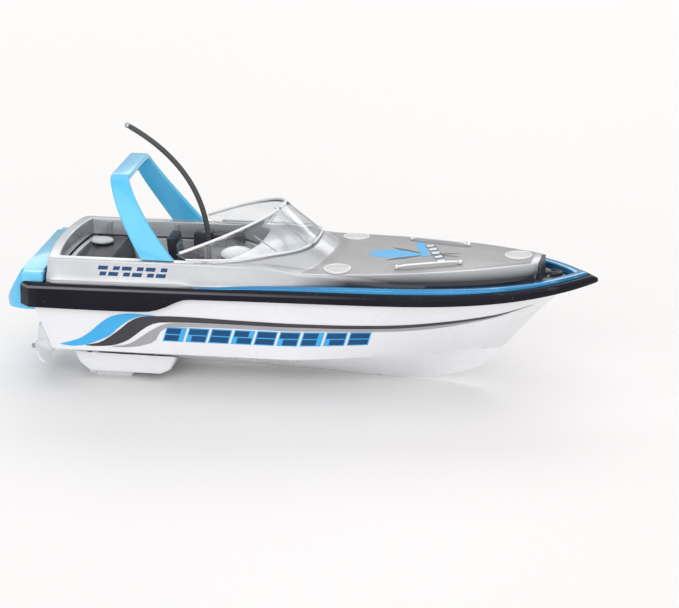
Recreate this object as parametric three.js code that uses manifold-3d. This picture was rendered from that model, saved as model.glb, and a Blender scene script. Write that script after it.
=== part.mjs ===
// A miniature twin-motor radio-controlled runabout. Millimetres, +X to the bow, +Y to port, +Z up.
// The origin is on the standing surface, midway between the bow tip and the stern tip.
import * as THREE from "three";
import { mergeVertices } from "three/addons/utils/BufferGeometryUtils.js";
import Module from "manifold-3d";

const wasm = await Module();
wasm.setup();

// ---------------------------------------------------------------- driving dimensions
const LENGTH = 128.5; // stern platform tip to bow tip
const BEAM = 41.6; // over the rub rail
const GAP = 0.3; // clearance between neighbouring pieces
const BOW = LENGTH / 2;
const STERN = -LENGTH / 2;
const HALF_BEAM = BEAM / 2;

// Plan of the boat: parallel sides, then a blunt taper to the bow.
const TAPER_LENGTH = 54.25;
const TAPER_POWER = 3.6;
const TAPER_ROUNDING = 0.92;
const APEX_MITRE = 1.45; // how far the bow apex moves aft for each millimetre of inset

// Hull
const HULL_WALL = 1.2;
const HULL_INSET = 1.5; // hull side inside the outer face of the rub rail
const CHINE_HEIGHT = 8;
const CHINE_HALF_WIDTH = HALF_BEAM - 3.8;
const CHINE_RUN_OUT = 21; // from the bow tip back to where the chine meets the stem
const TRANSOM_RAKE = 0.36; // millimetres forward for each millimetre down
const KEEL_HEIGHTS = [
  [STERN + 12, 2.4],
  [STERN + 36, 1.64],
  [BOW - 66, 0.84],
  [BOW - 47.5, 0],
  [BOW - 36.7, 0.54],
  [BOW - 29.9, 2],
  [BOW - 25.5, 3.9],
  [BOW - 21.2, 7.7],
  [BOW - 16.8, 12.4],
  [BOW - 12.5, 17],
  [BOW - 8, 21],
  [BOW - 2, 24],
];

// Rub rail
const RAIL_THICKNESS = 1.2;
const RAIL_AFT_INSET = 4.4; // rail end forward of the platform tip
const RAIL_CORNER = 2.2; // chamfer of the rail's aft corners
const RAIL_CHAMFER = 0.8;
const RAIL_TOPS = [
  [STERN, 23.5],
  [STERN + 36, 23.8],
  [BOW - 40, 24.45],
  [BOW - 19, 24.9],
  [BOW, 25.3],
];
const RAIL_BOTTOMS = [
  [STERN, 18.35],
  [STERN + 32, 18.35],
  [STERN + 36, 19.2],
  [STERN + 40.5, 21.3],
  [STERN + 44, 21.6],
  [BOW - 41, 22.1],
  [BOW - 19, 22.75],
  [BOW, 23.7],
];
const SHEER_BELOW_RAIL_TOP = 1.3; // hull edge under the top of the rail
const RAIL_AFT = STERN + RAIL_AFT_INSET;

// Sheer trim
const TRIM_LENGTH = 85.5; // from the bow tip back to its aft points
const TRIM_TOPS = [
  [BOW - TRIM_LENGTH, 24.4],
  [BOW - 64, 25],
  [BOW - 48, 25.45],
  [BOW, 25.85],
];
const TRIM_INSETS = [
  [BOW - TRIM_LENGTH, 2.3],
  [BOW - 64, 2.7],
  [BOW - 44, 3.2],
  [BOW - 24, 3.6],
  [BOW, 3.6],
];

// Upper deck
const DECK_WALL = 1.2;
const RIM_HEIGHT = 28.85; // coaming rim above the standing surface
const RIM_HALF_WIDTH = HALF_BEAM - 3;
const RIM_WIDTH = 2.2;
const FOOT_HALF_WIDTH = HALF_BEAM - 2.3;
const FOOT_HEIGHT = 24.6;
const COAMING_AFT_INSET = 10.55; // coaming corner forward of the platform tip
const COAMING_CROWN = 1.2; // bulge of the stern edge
const COCKPIT_LENGTH = 45;
const FOREDECK_HEIGHT = RIM_HEIGHT - 1.35;
const FOREDECK_RISE = 0.9; // gained towards the bow
const FOREDECK_CROWN = 0.5;
const FOREDECK_FRONT_INSET = 12.75; // deck nose aft of the bow tip
const FOREDECK_WIDTHS = [
  [STERN, RIM_HALF_WIDTH],
  [BOW - 66, RIM_HALF_WIDTH],
  [BOW - 57, 0.98 * RIM_HALF_WIDTH],
  [BOW - 47, 0.916 * RIM_HALF_WIDTH],
  [BOW - 37, 0.803 * RIM_HALF_WIDTH],
  [BOW - 27, 0.635 * RIM_HALF_WIDTH],
  [BOW - 17, 0.376 * RIM_HALF_WIDTH],
  [BOW - 12, 0.23 * RIM_HALF_WIDTH],
];
const PANEL_THICKNESS = 0.5;
const PANEL_MARGIN = 0.5; // bright edge left round the panel
const WELL_FLOOR_HEIGHT = 24.6;

// Windshield
const SHIELD_THICKNESS = 0.8;
const SHIELD_AFT = STERN + 37.85;
const SHIELD_BASE_LENGTH = 29.9;
const SHIELD_TOP_LENGTH = 22;
const SHIELD_HALF_WIDTH = RIM_HALF_WIDTH - 1.2;
const SHIELD_BASE_POWER = 2.9;
const SHIELD_TOP_HEIGHT = RIM_HEIGHT + 9.55;
const SHIELD_TAIL_HEIGHT = 1; // height of the glass at its aft ends
const COWL_RISE = 3.1; // deck rise under the front of the windshield
const COWL_FADE = 6.5; // length over which that rise dies out forward

// Radar arch
const ARCH_TOP_HEIGHT = RIM_HEIGHT + 17.25;
const ARCH_THICKNESS = 1.4;
const ARCH_TOP_HALF_WIDTH = RIM_HALF_WIDTH - 7.5;
const ARCH_BOW = 1.5; // how much later in the leg it leans inward
const ARCH_FOOT_AFT = STERN + 31; // aft edge of the foot
const ARCH_FOOT_LENGTH = 7.2;
const ARCH_RAKE = 8; // top aft edge behind the foot aft edge
const ARCH_TOP_LENGTH = 4.1;
const ARCH_CORNER = 2.4;

// Swim platform
const PLATFORM_HALF_WIDTH = HALF_BEAM - 4.2;
const PLATFORM_BOTTOM = 16.6;
const PLATFORM_TOP = FOOT_HEIGHT + 1.1;
const PLATFORM_CORNER = 5;
const PLATFORM_SLOPE_LENGTH = 4.3; // from the tip forward to the flat top

// Deck fittings
const VENT_DIAMETER = 6.1;
const VENT_HEIGHT = 0.8;
const SIDE_VENT_FROM_BOW = 55.1;
const SIDE_VENT_OFFSET = RIM_HALF_WIDTH - 4.6;
const BOW_VENT_FROM_BOW = 17.4;
const RAIL_ROD_DIAMETER = 0.9;
const HANDRAIL_AFT = { fromBow: 42.2, offset: RIM_HALF_WIDTH - 6.2 };
const HANDRAIL_FORE = { fromBow: 29.4, offset: RIM_HALF_WIDTH - 10.4 };
const HANDRAIL_LIFT = 1.1;

// Cockpit
const TUB_WALL = 1;
const TUB_FLOOR_HEIGHT = 19.6; // top of the floor
const TUB_RIM_HEIGHT = 25;
const BENCH_LENGTH = 7.5;
const BENCH_HEIGHT = 25.4;
const SEAT_FROM_STERN = 32.6;
const SEAT_OFFSET = RIM_HALF_WIDTH - 9.6;
const SEAT_LENGTH = 6.4;
const SEAT_WIDTH = 8;
const SEAT_BASE_HEIGHT = 3.6;
const SEAT_BACK_HEIGHT = 8;
const CONSOLE_FROM_STERN = 44.4;
const CONSOLE_LENGTH = 9;
const CONSOLE_WIDTH = RIM_HALF_WIDTH - 6.8;
const CONSOLE_HEIGHT = 25.4;
const DOME_DIAMETER = 7.4;
const DOME_HEIGHT = 2;

// Aerial
const AERIAL_DIAMETER = 1.2;
const AERIAL_FROM_STERN = 42.6;
const AERIAL_TIP_HEIGHT = RIM_HEIGHT + 25.5;
const AERIAL_SWEEP = 17.4; // tip behind the base

// Bench fittings
const PLUG_DIAMETER = 5.1;
const PLUG_THICKNESS = 0.8;
const PLUG_STEM = 2.2;
const PLUG_FROM_STERN = 16.6;
const PLUG_OFFSET = RIM_HALF_WIDTH - 9.6;
const SOCKET_DIAMETER = 4.2;
const SOCKET_DEPTH = 4.2;
const SWITCH_OFFSET = 10.3 - RIM_HALF_WIDTH;
const SWITCH_BODY = [5.4, 3.8, 3.6];
const SWITCH_KNOB = [1.8, 1.6];
const SWITCH_TRAVEL = 2;

// Drive
const SHAFT_OFFSET = 6; // from the centreline
const PROPELLER_DIAMETER = 10;
const PROPELLER_FROM_STERN = 6.4;
const PROPELLER_HEIGHT = 5.4;
const HUB_DIAMETER = 3;
const HUB_LENGTH = 4;
const SHAFT_DIAMETER = 1.2;
const SHAFT_LENGTH = 18;
const TUBE_START = 3.6; // forward of the propeller centre
const TUBE_LENGTH = 8.6;
const TUBE_WALL = 0.6;
const COUPLING_DIAMETER = 3;
const COUPLING_LENGTH = 5.4;
const MOTOR_DIAMETER = 6;
const MOTOR_LENGTH = 12;
const ENDCAP_LENGTH = 2;
const COUPLING_START = TUBE_START + TUBE_LENGTH + 0.8;
const MOTOR_START = COUPLING_START + COUPLING_LENGTH + 0.8;
const KEEL_AT_MOTORS = 2;
const BOTTOM_AT_SHAFT = KEEL_AT_MOTORS + ((CHINE_HEIGHT - KEEL_AT_MOTORS) * SHAFT_OFFSET) / CHINE_HALF_WIDTH;
const MOTOR_SEAT_HEIGHT = BOTTOM_AT_SHAFT + 1.4514; // underside of the motor can at its aft end
const SHAFT_SLOPE = Math.asin((MOTOR_SEAT_HEIGHT + MOTOR_DIAMETER / 2 - PROPELLER_HEIGHT) / MOTOR_START);

// Drive pod
const POD_AFT_FROM_STERN = 14;
const POD_LENGTH = 23.2;
const POD_HALF_WIDTH = 12;
const POD_BOTTOM = 1.5;
const POD_WALL = 1;
const POD_HOLLOW_HALF_WIDTH = 7.2;
const SKID_FROM_STERN = 16.9;
const SKID_LENGTH = 11.6;
const SKID_HALF_WIDTH = 9;
const POD_SCREW_OFFSET = 9.4;
const POD_SCREW_INSET = 3.4;
const CONTACT_OFFSET = 4.5;

// Internals
const BATTERY = [24, 13, 6.5];
const BATTERY_FROM_STERN = 60;
const CHINE_AT_BATTERY = 0.63 * CHINE_HALF_WIDTH; // where the bottom is narrowest under the cell
const BATTERY_BASE_HEIGHT = 2.345 + (CHINE_HEIGHT * BATTERY[1]) / 2 / CHINE_AT_BATTERY;
const PAD_THICKNESS = 1;
const BOARD = [18, 12, 1];
const BOARD_FROM_STERN = 86;
const BOARD_HEIGHT = 15.2;
const LEAD_DIAMETER = 1;

// ---------------------------------------------------------------- solids and curves
// A closed three.js geometry as a manifold-3d solid.
function solid(geometry) {
  const bare = geometry.index ? geometry.toNonIndexed() : geometry.clone();
  bare.deleteAttribute("normal");
  bare.deleteAttribute("uv");
  const merged = mergeVertices(bare, 1e-4);
  const mesh = new wasm.Mesh({
    numProp: 3,
    vertProperties: merged.attributes.position.array,
    triVerts: new Uint32Array(merged.index.array),
  });
  return new wasm.Manifold(mesh);
}

// A manifold-3d solid as a three.js geometry.
function geometryOf(shape) {
  const mesh = shape.getMesh();
  const geometry = new THREE.BufferGeometry();
  geometry.setAttribute("position", new THREE.BufferAttribute(mesh.vertProperties, 3));
  geometry.setIndex(new THREE.BufferAttribute(mesh.triVerts, 1));
  geometry.computeVertexNormals();
  return geometry;
}

// A smooth function through a few [x, value] points, level beyond both ends.
function through(points) {
  const last = points.length - 1;
  const slope = (i) => {
    const a = points[Math.max(i - 1, 0)];
    const b = points[Math.min(i + 1, last)];
    return (b[1] - a[1]) / (b[0] - a[0]);
  };
  return (x) => {
    if (x <= points[0][0]) return points[0][1];
    if (x >= points[last][0]) return points[last][1];
    let i = 0;
    while (x > points[i + 1][0]) i += 1;
    const span = points[i + 1][0] - points[i][0];
    const t = (x - points[i][0]) / span;
    const rise = points[i + 1][1] - points[i][1];
    const start = slope(i) * span;
    const end = slope(i + 1) * span;
    return points[i][1] + t * (start + t * (3 * rise - 2 * start - end + t * (start + end - 2 * rise)));
  };
}

// A value blended smoothly from 0 at `from` to 1 at `to`.
const smooth = (value, from, to) => THREE.MathUtils.smoothstep(value, from, to);

// A closed solid through rings of the same number of points, with flat ends.
function loft(rings) {
  const count = rings[0].length;
  const positions = rings.flat().flatMap((p) => [p.x, p.y, p.z]);
  const index = [];
  for (let r = 0; r < rings.length - 1; r += 1) {
    for (let i = 0; i < count; i += 1) {
      const a = r * count + i;
      const b = r * count + ((i + 1) % count);
      index.push(a, b, b + count, a, b + count, a + count);
    }
  }
  const cap = (ring, offset, flip) => {
    const normal = new THREE.Vector3();
    ring.forEach((p, i) => normal.add(new THREE.Vector3().crossVectors(p, ring[(i + 1) % count])));
    normal.normalize();
    const side = new THREE.Vector3(0, 1, 0);
    if (Math.abs(normal.y) > 0.9) side.set(1, 0, 0);
    const u = new THREE.Vector3().crossVectors(side, normal).normalize();
    const v = new THREE.Vector3().crossVectors(normal, u);
    const flat = ring.map((p) => new THREE.Vector2(p.dot(u), p.dot(v)));
    for (const [a, b, c] of THREE.ShapeUtils.triangulateShape(flat, [])) {
      if (flip) index.push(offset + a, offset + b, offset + c);
      else index.push(offset + c, offset + b, offset + a);
    }
  };
  cap(rings[0], 0, false);
  cap(rings[rings.length - 1], (rings.length - 1) * count, true);
  const geometry = new THREE.BufferGeometry();
  geometry.setAttribute("position", new THREE.Float32BufferAttribute(positions, 3));
  geometry.setIndex(index);
  const shape = solid(geometry);
  if (shape.volume() > 0) return shape;
  for (let i = 0; i < index.length; i += 3) [index[i], index[i + 1]] = [index[i + 1], index[i]];
  geometry.setIndex(index);
  return solid(geometry);
}

// Evenly spaced numbers from a to b.
function steps(a, b, count) {
  return Array.from({ length: count + 1 }, (_, i) => a + ((b - a) * i) / count);
}

// A ring in the plane x = constant from its port half, listed bottom to top.
function mirroredRing(x, half) {
  const port = half.map(([y, z]) => new THREE.Vector3(x, y, z));
  const starboard = half.map(([y, z]) => new THREE.Vector3(x, -y, z)).reverse();
  return [...port, ...starboard];
}

function box(x0, x1, y0, y1, z0, z1) {
  const geometry = new THREE.BoxGeometry(x1 - x0, y1 - y0, z1 - z0);
  geometry.translate((x0 + x1) / 2, (y0 + y1) / 2, (z0 + z1) / 2);
  return solid(geometry);
}

// A box with bevelled edges.
function softBox(x0, x1, y0, y1, z0, z1, bevel) {
  const shape = new THREE.Shape([
    new THREE.Vector2(x0 + bevel, y0 + bevel),
    new THREE.Vector2(x1 - bevel, y0 + bevel),
    new THREE.Vector2(x1 - bevel, y1 - bevel),
    new THREE.Vector2(x0 + bevel, y1 - bevel),
  ]);
  const geometry = new THREE.ExtrudeGeometry(shape, {
    depth: z1 - z0 - 2 * bevel,
    bevelSize: bevel,
    bevelThickness: bevel,
    bevelSegments: 2,
  });
  geometry.translate(0, 0, z0 + bevel);
  return solid(geometry);
}

// A plan outline raised from z0 to z1.
function prism(outline, z0, z1) {
  const geometry = new THREE.ExtrudeGeometry(new THREE.Shape(outline), { depth: z1 - z0, bevelEnabled: false });
  geometry.translate(0, 0, z0);
  return solid(geometry);
}

// An upright solid of revolution from [radius, z] points that start and end on the axis.
function turned(profile, sides) {
  const geometry = new THREE.LatheGeometry(
    profile.map(([r, z]) => new THREE.Vector2(r, z)),
    sides,
  );
  geometry.rotateX(Math.PI / 2);
  return solid(geometry);
}

// An upright cylinder between two heights.
function post(x, y, z0, z1, radius, sides = 14) {
  const geometry = new THREE.CylinderGeometry(radius, radius, z1 - z0, sides);
  geometry.rotateX(Math.PI / 2);
  geometry.translate(x, y, (z0 + z1) / 2);
  return solid(geometry);
}

// A round rod along a smooth path.
function rod(points, diameter, sides, segments) {
  const outline = steps(0, 2 * Math.PI, sides)
    .slice(0, sides)
    .map((a) => new THREE.Vector2(Math.cos(a), Math.sin(a)).multiplyScalar(diameter / 2));
  const geometry = new THREE.ExtrudeGeometry(new THREE.Shape(outline), {
    steps: segments,
    extrudePath: new THREE.CatmullRomCurve3(points.map((p) => new THREE.Vector3(...p))),
  });
  return solid(geometry);
}

// ---------------------------------------------------------------- the boat's lines
const keelHeight = through(KEEL_HEIGHTS);
const railTop = through(RAIL_TOPS);
const railBottom = through(RAIL_BOTTOMS);
const trimTop = through(TRIM_TOPS);
const trimInset = through(TRIM_INSETS);
const foredeckHalfWidth = through(FOREDECK_WIDTHS);
const sheerHeight = (x) => railTop(x) - SHEER_BELOW_RAIL_TOP;

// Where the plan outline, inset by `inset`, comes to its point.
const apexX = (inset) => BOW - inset * APEX_MITRE;

// Half the boat's width at x, inset from the outer face of the rub rail.
function halfBreadth(x, inset) {
  const start = BOW - TAPER_LENGTH;
  const t = THREE.MathUtils.clamp((x - start) / (apexX(inset) - start), 0, 1);
  return (HALF_BEAM - inset) * (1 - t ** TAPER_POWER) ** TAPER_ROUNDING;
}

// The chine's half-breadth: full aft, running out on the stem.
function chineHalfWidth(x) {
  const t = THREE.MathUtils.clamp((x - (BOW - 66)) / (66 - CHINE_RUN_OUT), 0, 1);
  return CHINE_HALF_WIDTH * (1 - t ** 1.35);
}

// Height of the deck's top edge, before the crown.
function deckEdgeHeight(x) {
  const shoulder = smooth(x, BOW - 71, BOW - 60);
  const foredeck = FOREDECK_HEIGHT + FOREDECK_RISE * smooth(x, BOW - 60, BOW - 8);
  return THREE.MathUtils.lerp(RIM_HEIGHT, foredeck, shoulder);
}

// How far forward the windshield's foot reaches at a distance from the centreline.
function shieldFront(y) {
  const share = Math.min(Math.abs(y) / SHIELD_HALF_WIDTH, 1);
  return SHIELD_AFT + SHIELD_BASE_LENGTH * (1 - share ** SHIELD_BASE_POWER) ** (1 / SHIELD_BASE_POWER);
}

// Extra height of the deck over its edge, before it falls away to the side.
function deckCrown(x, y) {
  const middle = shieldFront(0);
  const front = shieldFront(y);
  const cowl = COWL_RISE * smooth(x, middle - 24, middle - 3) * (1 - smooth(x, front - 1, front + COWL_FADE));
  return FOREDECK_CROWN + cowl;
}

// Height of the deck surface at a point.
function deckHeight(x, y) {
  const across = Math.min(Math.abs(y) / foredeckHalfWidth(x), 1);
  return deckEdgeHeight(x) + deckCrown(x, y) * (1 - across ** 2.4);
}

// Stations along the boat, closer together in the bow.
function stations(from, to, count) {
  return steps(0, 1, count).map((t) => from + (to - from) * (1 - (1 - t) ** 1.5));
}

// ---------------------------------------------------------------- hull
// The hull's closed outer form, inset by `inset` and topped `topOffset` above the sheer.
function hullForm(inset, topOffset) {
  const end = apexX(HULL_INSET + inset) - 0.2;
  const rings = stations(STERN, end, 24).map((x) => {
    const keel = keelHeight(x + inset * 0.8) + inset * 1.1;
    const sheer = sheerHeight(x);
    const top = sheer + topOffset;
    const side = Math.max(halfBreadth(x, HULL_INSET + inset), 0.04);
    const chineWidth = Math.max(Math.min(chineHalfWidth(x + inset * 0.8) - inset, side), 0.02);
    const chine = Math.max(Math.min(CHINE_HEIGHT + inset * 0.5, sheer - 1), keel + 0.01);
    const middle = THREE.MathUtils.lerp(chineWidth, side, 0.58);
    return mirroredRing(x, [
      [0.01, Math.min(keel, sheer - 0.5)],
      [chineWidth, Math.min(chine, sheer - 0.4)],
      [middle, Math.min(THREE.MathUtils.lerp(chine, sheer, 0.5), sheer - 0.2)],
      [side, sheer],
      [side, top + 0.01],
    ]);
  });
  return loft(rings);
}

// Where the transom's outer face is at a height.
function transomX(z) {
  return RAIL_AFT + RAIL_THICKNESS + GAP + (sheerHeight(STERN) - z) * TRANSOM_RAKE;
}

// The stern corner's chamfer line, moved in by `inset`: its aft and its outboard end.
function sternChamfer(inset) {
  const shift = inset * (Math.SQRT2 - 1);
  return [
    [RAIL_AFT + inset, HALF_BEAM - RAIL_CORNER - shift],
    [RAIL_AFT + RAIL_CORNER + shift, HALF_BEAM - inset],
  ];
}

// What lies outside the two chamfers.
function outsideCorners(inset) {
  const [a, b] = sternChamfer(inset);
  const wedge = (side) => {
    const outline = [
      [a[0] - 3, a[1] - 3],
      [b[0] + 3, b[1] + 3],
      [a[0] - 3, b[1] + 3],
    ].map(([x, y]) => new THREE.Vector2(x, side * y));
    return prism(outline, -5, 60);
  };
  return wedge(1).add(wedge(-1));
}

// Everything behind the raked transom, moved forward by `wall`.
function behindTransom(wall) {
  const top = 40;
  const x = (z) => transomX(z) + wall;
  const outline = [
    new THREE.Vector2(STERN - 20, -5),
    new THREE.Vector2(x(-5), -5),
    new THREE.Vector2(x(top), top),
    new THREE.Vector2(STERN - 20, top),
  ];
  const geometry = new THREE.ExtrudeGeometry(new THREE.Shape(outline), { depth: BEAM * 2, bevelEnabled: false });
  geometry.rotateX(Math.PI / 2);
  geometry.translate(0, BEAM, 0);
  return solid(geometry);
}

function hullOuter() {
  return hullForm(0, 0).subtract(behindTransom(0)).subtract(outsideCorners(RAIL_THICKNESS + GAP));
}

function hullInner(extra = 0) {
  const wall = HULL_WALL + extra;
  const corners = outsideCorners(RAIL_THICKNESS + GAP + wall);
  return hullForm(wall, 12).subtract(behindTransom(wall)).subtract(corners);
}

function lowerHull() {
  let hull = hullOuter().subtract(hullInner());
  for (const side of [1, -1]) {
    hull = hull.subtract(onShaft(side, tubeBore(TUBE_START - 3, TUBE_LENGTH + 6, SHAFT_DIAMETER / 2 + 2 * GAP + TUBE_WALL)));
  }
  for (const [x, y] of podScrewPlaces()) hull = hull.subtract(post(x, y, 0, 14, 0.6 + GAP, 16));
  return hull;
}

// ---------------------------------------------------------------- rub rail and trim
// A strip along the boat's side and round the bow, from its [inset, height] section at x.
function sheerStrip(aft, section, count) {
  const rings = [];
  const place = (t, side) => {
    const points = section(aft + (BOW - aft) * t, t);
    return points.map(([inset, z]) => {
      const x = aft + (apexX(inset) - aft) * t;
      return new THREE.Vector3(x, side * halfBreadth(x, inset), z);
    });
  };
  const spacing = steps(0, 1, count).map((t) => 1 - (1 - t) ** 1.6);
  for (const t of spacing) rings.push(place(t, 1));
  for (const t of spacing.slice(0, -1).reverse()) rings.push(place(t, -1));
  return loft(rings);
}

function rubRail() {
  const strip = sheerStrip(
    RAIL_AFT,
    (x) => [
      [0, railBottom(x)],
      [0, railTop(x) - RAIL_CHAMFER * 0.8],
      [RAIL_CHAMFER, railTop(x) - 0.1],
      [RAIL_THICKNESS, railTop(x)],
      [RAIL_THICKNESS, railBottom(x)],
    ],
    22,
  );
  // Each aft end turns the stern corner with a chamfer and runs inboard to the platform.
  const corner = (side) => {
    const inner = PLATFORM_HALF_WIDTH + GAP;
    const [outerAft, outerSide] = sternChamfer(0);
    const [innerAft, innerSide] = sternChamfer(RAIL_THICKNESS);
    const ends = [
      [RAIL_AFT, inner],
      [RAIL_AFT + RAIL_THICKNESS, inner],
    ];
    const outline = [outerSide, outerAft, ...ends, innerAft, innerSide].map(([x, y]) => new THREE.Vector2(x, side * y));
    return prism(outline, railBottom(RAIL_AFT), railTop(RAIL_AFT));
  };
  return strip.subtract(outsideCorners(0)).add(corner(1)).add(corner(-1));
}

// The trim's body, grown by `grow` for the pocket that it sits in.
function trimForm(grow) {
  const aft = BOW - TRIM_LENGTH;
  const inner = (x) => trimInset(x) + grow;
  const bottom = (x) => sheerHeight(x) + GAP - grow;
  return sheerStrip(
    aft,
    (x) => [
      [HULL_INSET - grow, bottom(x)],
      [HULL_INSET - grow, trimTop(x) - 0.4 + grow * 3],
      [HULL_INSET + 0.35 - grow, trimTop(x) + grow * 6],
      [inner(x) - 0.3, trimTop(x) + grow * 6],
      [inner(x), trimTop(x) - 0.3 + grow * 6],
      [inner(x), bottom(x)],
    ],
    22,
  );
}

// ---------------------------------------------------------------- upper deck
// The rim's plan outline, inset by `inset`, from the curved stern edge to x = front.
function rimOutline(inset, front) {
  const aft = STERN + COAMING_AFT_INSET + inset;
  const half = RIM_HALF_WIDTH - inset;
  const stern = steps(half, -half, 8).map(
    (y) => new THREE.Vector2(aft - COAMING_CROWN * (1 - (y / half) ** 2), y),
  );
  return [new THREE.Vector2(front, half), ...stern, new THREE.Vector2(front, -half)];
}

// Everything that the upper deck's outer skin encloses, thinned by `inset` and lowered by `drop` below.
function deckForm(inset, drop = 0) {
  const nose = BOW - FOREDECK_FRONT_INSET - inset;
  const rings = steps(STERN + COAMING_AFT_INSET - 3, nose, 28).map((x) => {
    const forward = smooth(x, BOW - 72, BOW - 58);
    const trimSide = halfBreadth(x, trimInset(x) + GAP) - inset;
    const top = foredeckHalfWidth(x) - inset;
    const foot = THREE.MathUtils.lerp(FOOT_HALF_WIDTH - inset, trimSide, forward);
    const footHeight = THREE.MathUtils.lerp(FOOT_HEIGHT, trimTop(x) + 0.35, forward);
    const shoulder = THREE.MathUtils.lerp(top + 0.05, THREE.MathUtils.lerp(top, foot, 0.55), forward);
    const half = [[foot, sheerHeight(x) + GAP - drop]];
    half.push([foot, footHeight - inset * 0.4]);
    half.push([shoulder, deckHeight(x, top) - inset - THREE.MathUtils.lerp(0.45, 0.8, forward)]);
    for (const share of [1, 0.9, 0.65, 0.3]) {
      half.push([top * share, deckHeight(x, foredeckHalfWidth(x) * share) - inset]);
    }
    return mirroredRing(x, half);
  });
  return loft(rings);
}

// The flange that carries the deck on the hull's edge.
function flangeForm() {
  const aft = STERN + RAIL_AFT_INSET + RAIL_CORNER + GAP;
  const rings = stations(aft, apexX(TRIM_INSETS[4][1] + GAP) - 0.2, 22).map((x) => {
    const edge = Math.max(halfBreadth(x, HULL_INSET), 0.05);
    const foot = Math.max(Math.min(FOOT_HALF_WIDTH, edge - 0.02), 0.03);
    const low = sheerHeight(x) + GAP;
    const rise = FOOT_HEIGHT - railTop(STERN);
    return mirroredRing(x, [
      [edge, low],
      [edge, railTop(x) + 0.1],
      [foot, railTop(x) + Math.min(rise, 1.1)],
    ]);
  });
  return loft(rings);
}

function upperDeck() {
  const flange = flangeForm()
    .subtract(trimForm(GAP))
    .subtract(outsideCorners(RAIL_THICKNESS + GAP));
  const wellAft = BOW - FOREDECK_FRONT_INSET;
  const rimPlan = prism(rimOutline(0, BOW), 0, 60);
  const body = deckForm(0).intersect(rimPlan);
  const hollow = deckForm(DECK_WALL, DECK_WALL).intersect(prism(rimOutline(DECK_WALL, BOW), 0, 60));
  const cockpit = prism(cockpitOutline(0), 0, 60);
  const collar = prism(cockpitOutline(-1.1), TUB_RIM_HEIGHT + GAP, 60).intersect(body);
  const skin = body.add(flange).subtract(hollow).add(collar);
  let deck = skin.subtract(cockpit).subtract(wellPocket(wellAft));
  deck = deck.subtract(panelPocket());
  for (const place of ventPlaces()) {
    deck = deck.subtract(post(place.x, place.y, place.z - 1.5, place.z + 3, 1 + GAP, 12));
    deck = deck.subtract(post(place.x, place.y, place.z, place.z + 3, VENT_DIAMETER / 2 + GAP, 24));
  }
  return deck.subtract(platformClearance());
}

// The cockpit opening, made smaller by `inset`.
function cockpitOutline(inset) {
  const aft = STERN + COAMING_AFT_INSET + RIM_WIDTH + inset;
  const half = RIM_HALF_WIDTH - RIM_WIDTH - inset;
  const front = STERN + COAMING_AFT_INSET + COCKPIT_LENGTH - inset;
  const stern = steps(half, -half, 6).map(
    (y) => new THREE.Vector2(aft - COAMING_CROWN * (1 - (y / half) ** 2), y),
  );
  const bow = steps(-half, half, 8).map(
    (y) => new THREE.Vector2(front - 8 * Math.abs(y / half) ** 3, y),
  );
  return [...stern, ...bow];
}

// The V-shaped well in the bow, from its aft wall forward.
function wellOutline(aft, inset) {
  const edge = (x) => halfBreadth(x, trimInset(x) + GAP + inset);
  const apex = apexX(TRIM_INSETS[4][1] + GAP + inset);
  const xs = steps(aft, apex, 6);
  const port = xs.map((x) => new THREE.Vector2(x, edge(x)));
  const starboard = xs
    .slice(0, -1)
    .reverse()
    .map((x) => new THREE.Vector2(x, -edge(x)));
  return [...port, ...starboard];
}

function wellPocket(aft) {
  return prism(wellOutline(aft - 1.2, -GAP), WELL_FLOOR_HEIGHT - 1 - GAP, 60);
}

// The grey tray in the bow well: a floor with an upstand against the deck's nose.
function bowTray() {
  const aft = BOW - FOREDECK_FRONT_INSET - 0.9;
  const floor = prism(wellOutline(aft, GAP), WELL_FLOOR_HEIGHT - 1, WELL_FLOOR_HEIGHT);
  const wall = prism(wellOutline(aft, GAP), WELL_FLOOR_HEIGHT - 1, deckHeight(aft, 0) - 0.2);
  const keep = box(aft - 1, aft + 0.9, -HALF_BEAM, HALF_BEAM, 0, 60);
  return floor.add(wall.intersect(keep).intersect(deckForm(0.15)));
}

// ---------------------------------------------------------------- foredeck panel
function panelForm(low, high, margin) {
  const aft = SHIELD_AFT + SHIELD_BASE_LENGTH + 1.6 - margin;
  const nose = BOW - FOREDECK_FRONT_INSET - 1.6 + margin;
  const rings = steps(aft, nose, 16).map((x) => {
    const edge = foredeckHalfWidth(x) - PANEL_MARGIN - GAP + margin;
    const lift = (y, offset) => deckHeight(x, y) + offset;
    const half = [];
    for (const share of [0.3, 0.65, 0.9, 1]) half.push([edge * share, lift(edge * share, low)]);
    for (const share of [1, 0.9, 0.65, 0.3]) half.push([edge * share, lift(edge * share, high)]);
    return mirroredRing(x, half);
  });
  return loft(rings);
}

function panelPocket() {
  return panelForm(-PANEL_THICKNESS - GAP / 2, 4, GAP);
}

function foredeckPanel() {
  let panel = panelForm(-PANEL_THICKNESS + GAP / 2, 0.02, 0);
  for (const place of ventPlaces()) {
    panel = panel.subtract(post(place.x, place.y, place.z - 3, place.z + 3, VENT_DIAMETER / 2 + GAP, 24));
  }
  for (const side of [1, -1]) {
    for (const end of [HANDRAIL_AFT, HANDRAIL_FORE]) {
      panel = panel.subtract(post(BOW - end.fromBow, side * end.offset, 20, 40, RAIL_ROD_DIAMETER / 2 + GAP, 8));
    }
  }
  return panel;
}

// ---------------------------------------------------------------- deck fittings
function ventPlaces() {
  const places = [
    [BOW - SIDE_VENT_FROM_BOW, SIDE_VENT_OFFSET],
    [BOW - SIDE_VENT_FROM_BOW, -SIDE_VENT_OFFSET],
    [BOW - BOW_VENT_FROM_BOW, 0],
  ];
  return places.map(([x, y]) => ({ x, y, z: deckHeight(x, y) - PANEL_THICKNESS }));
}

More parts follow.
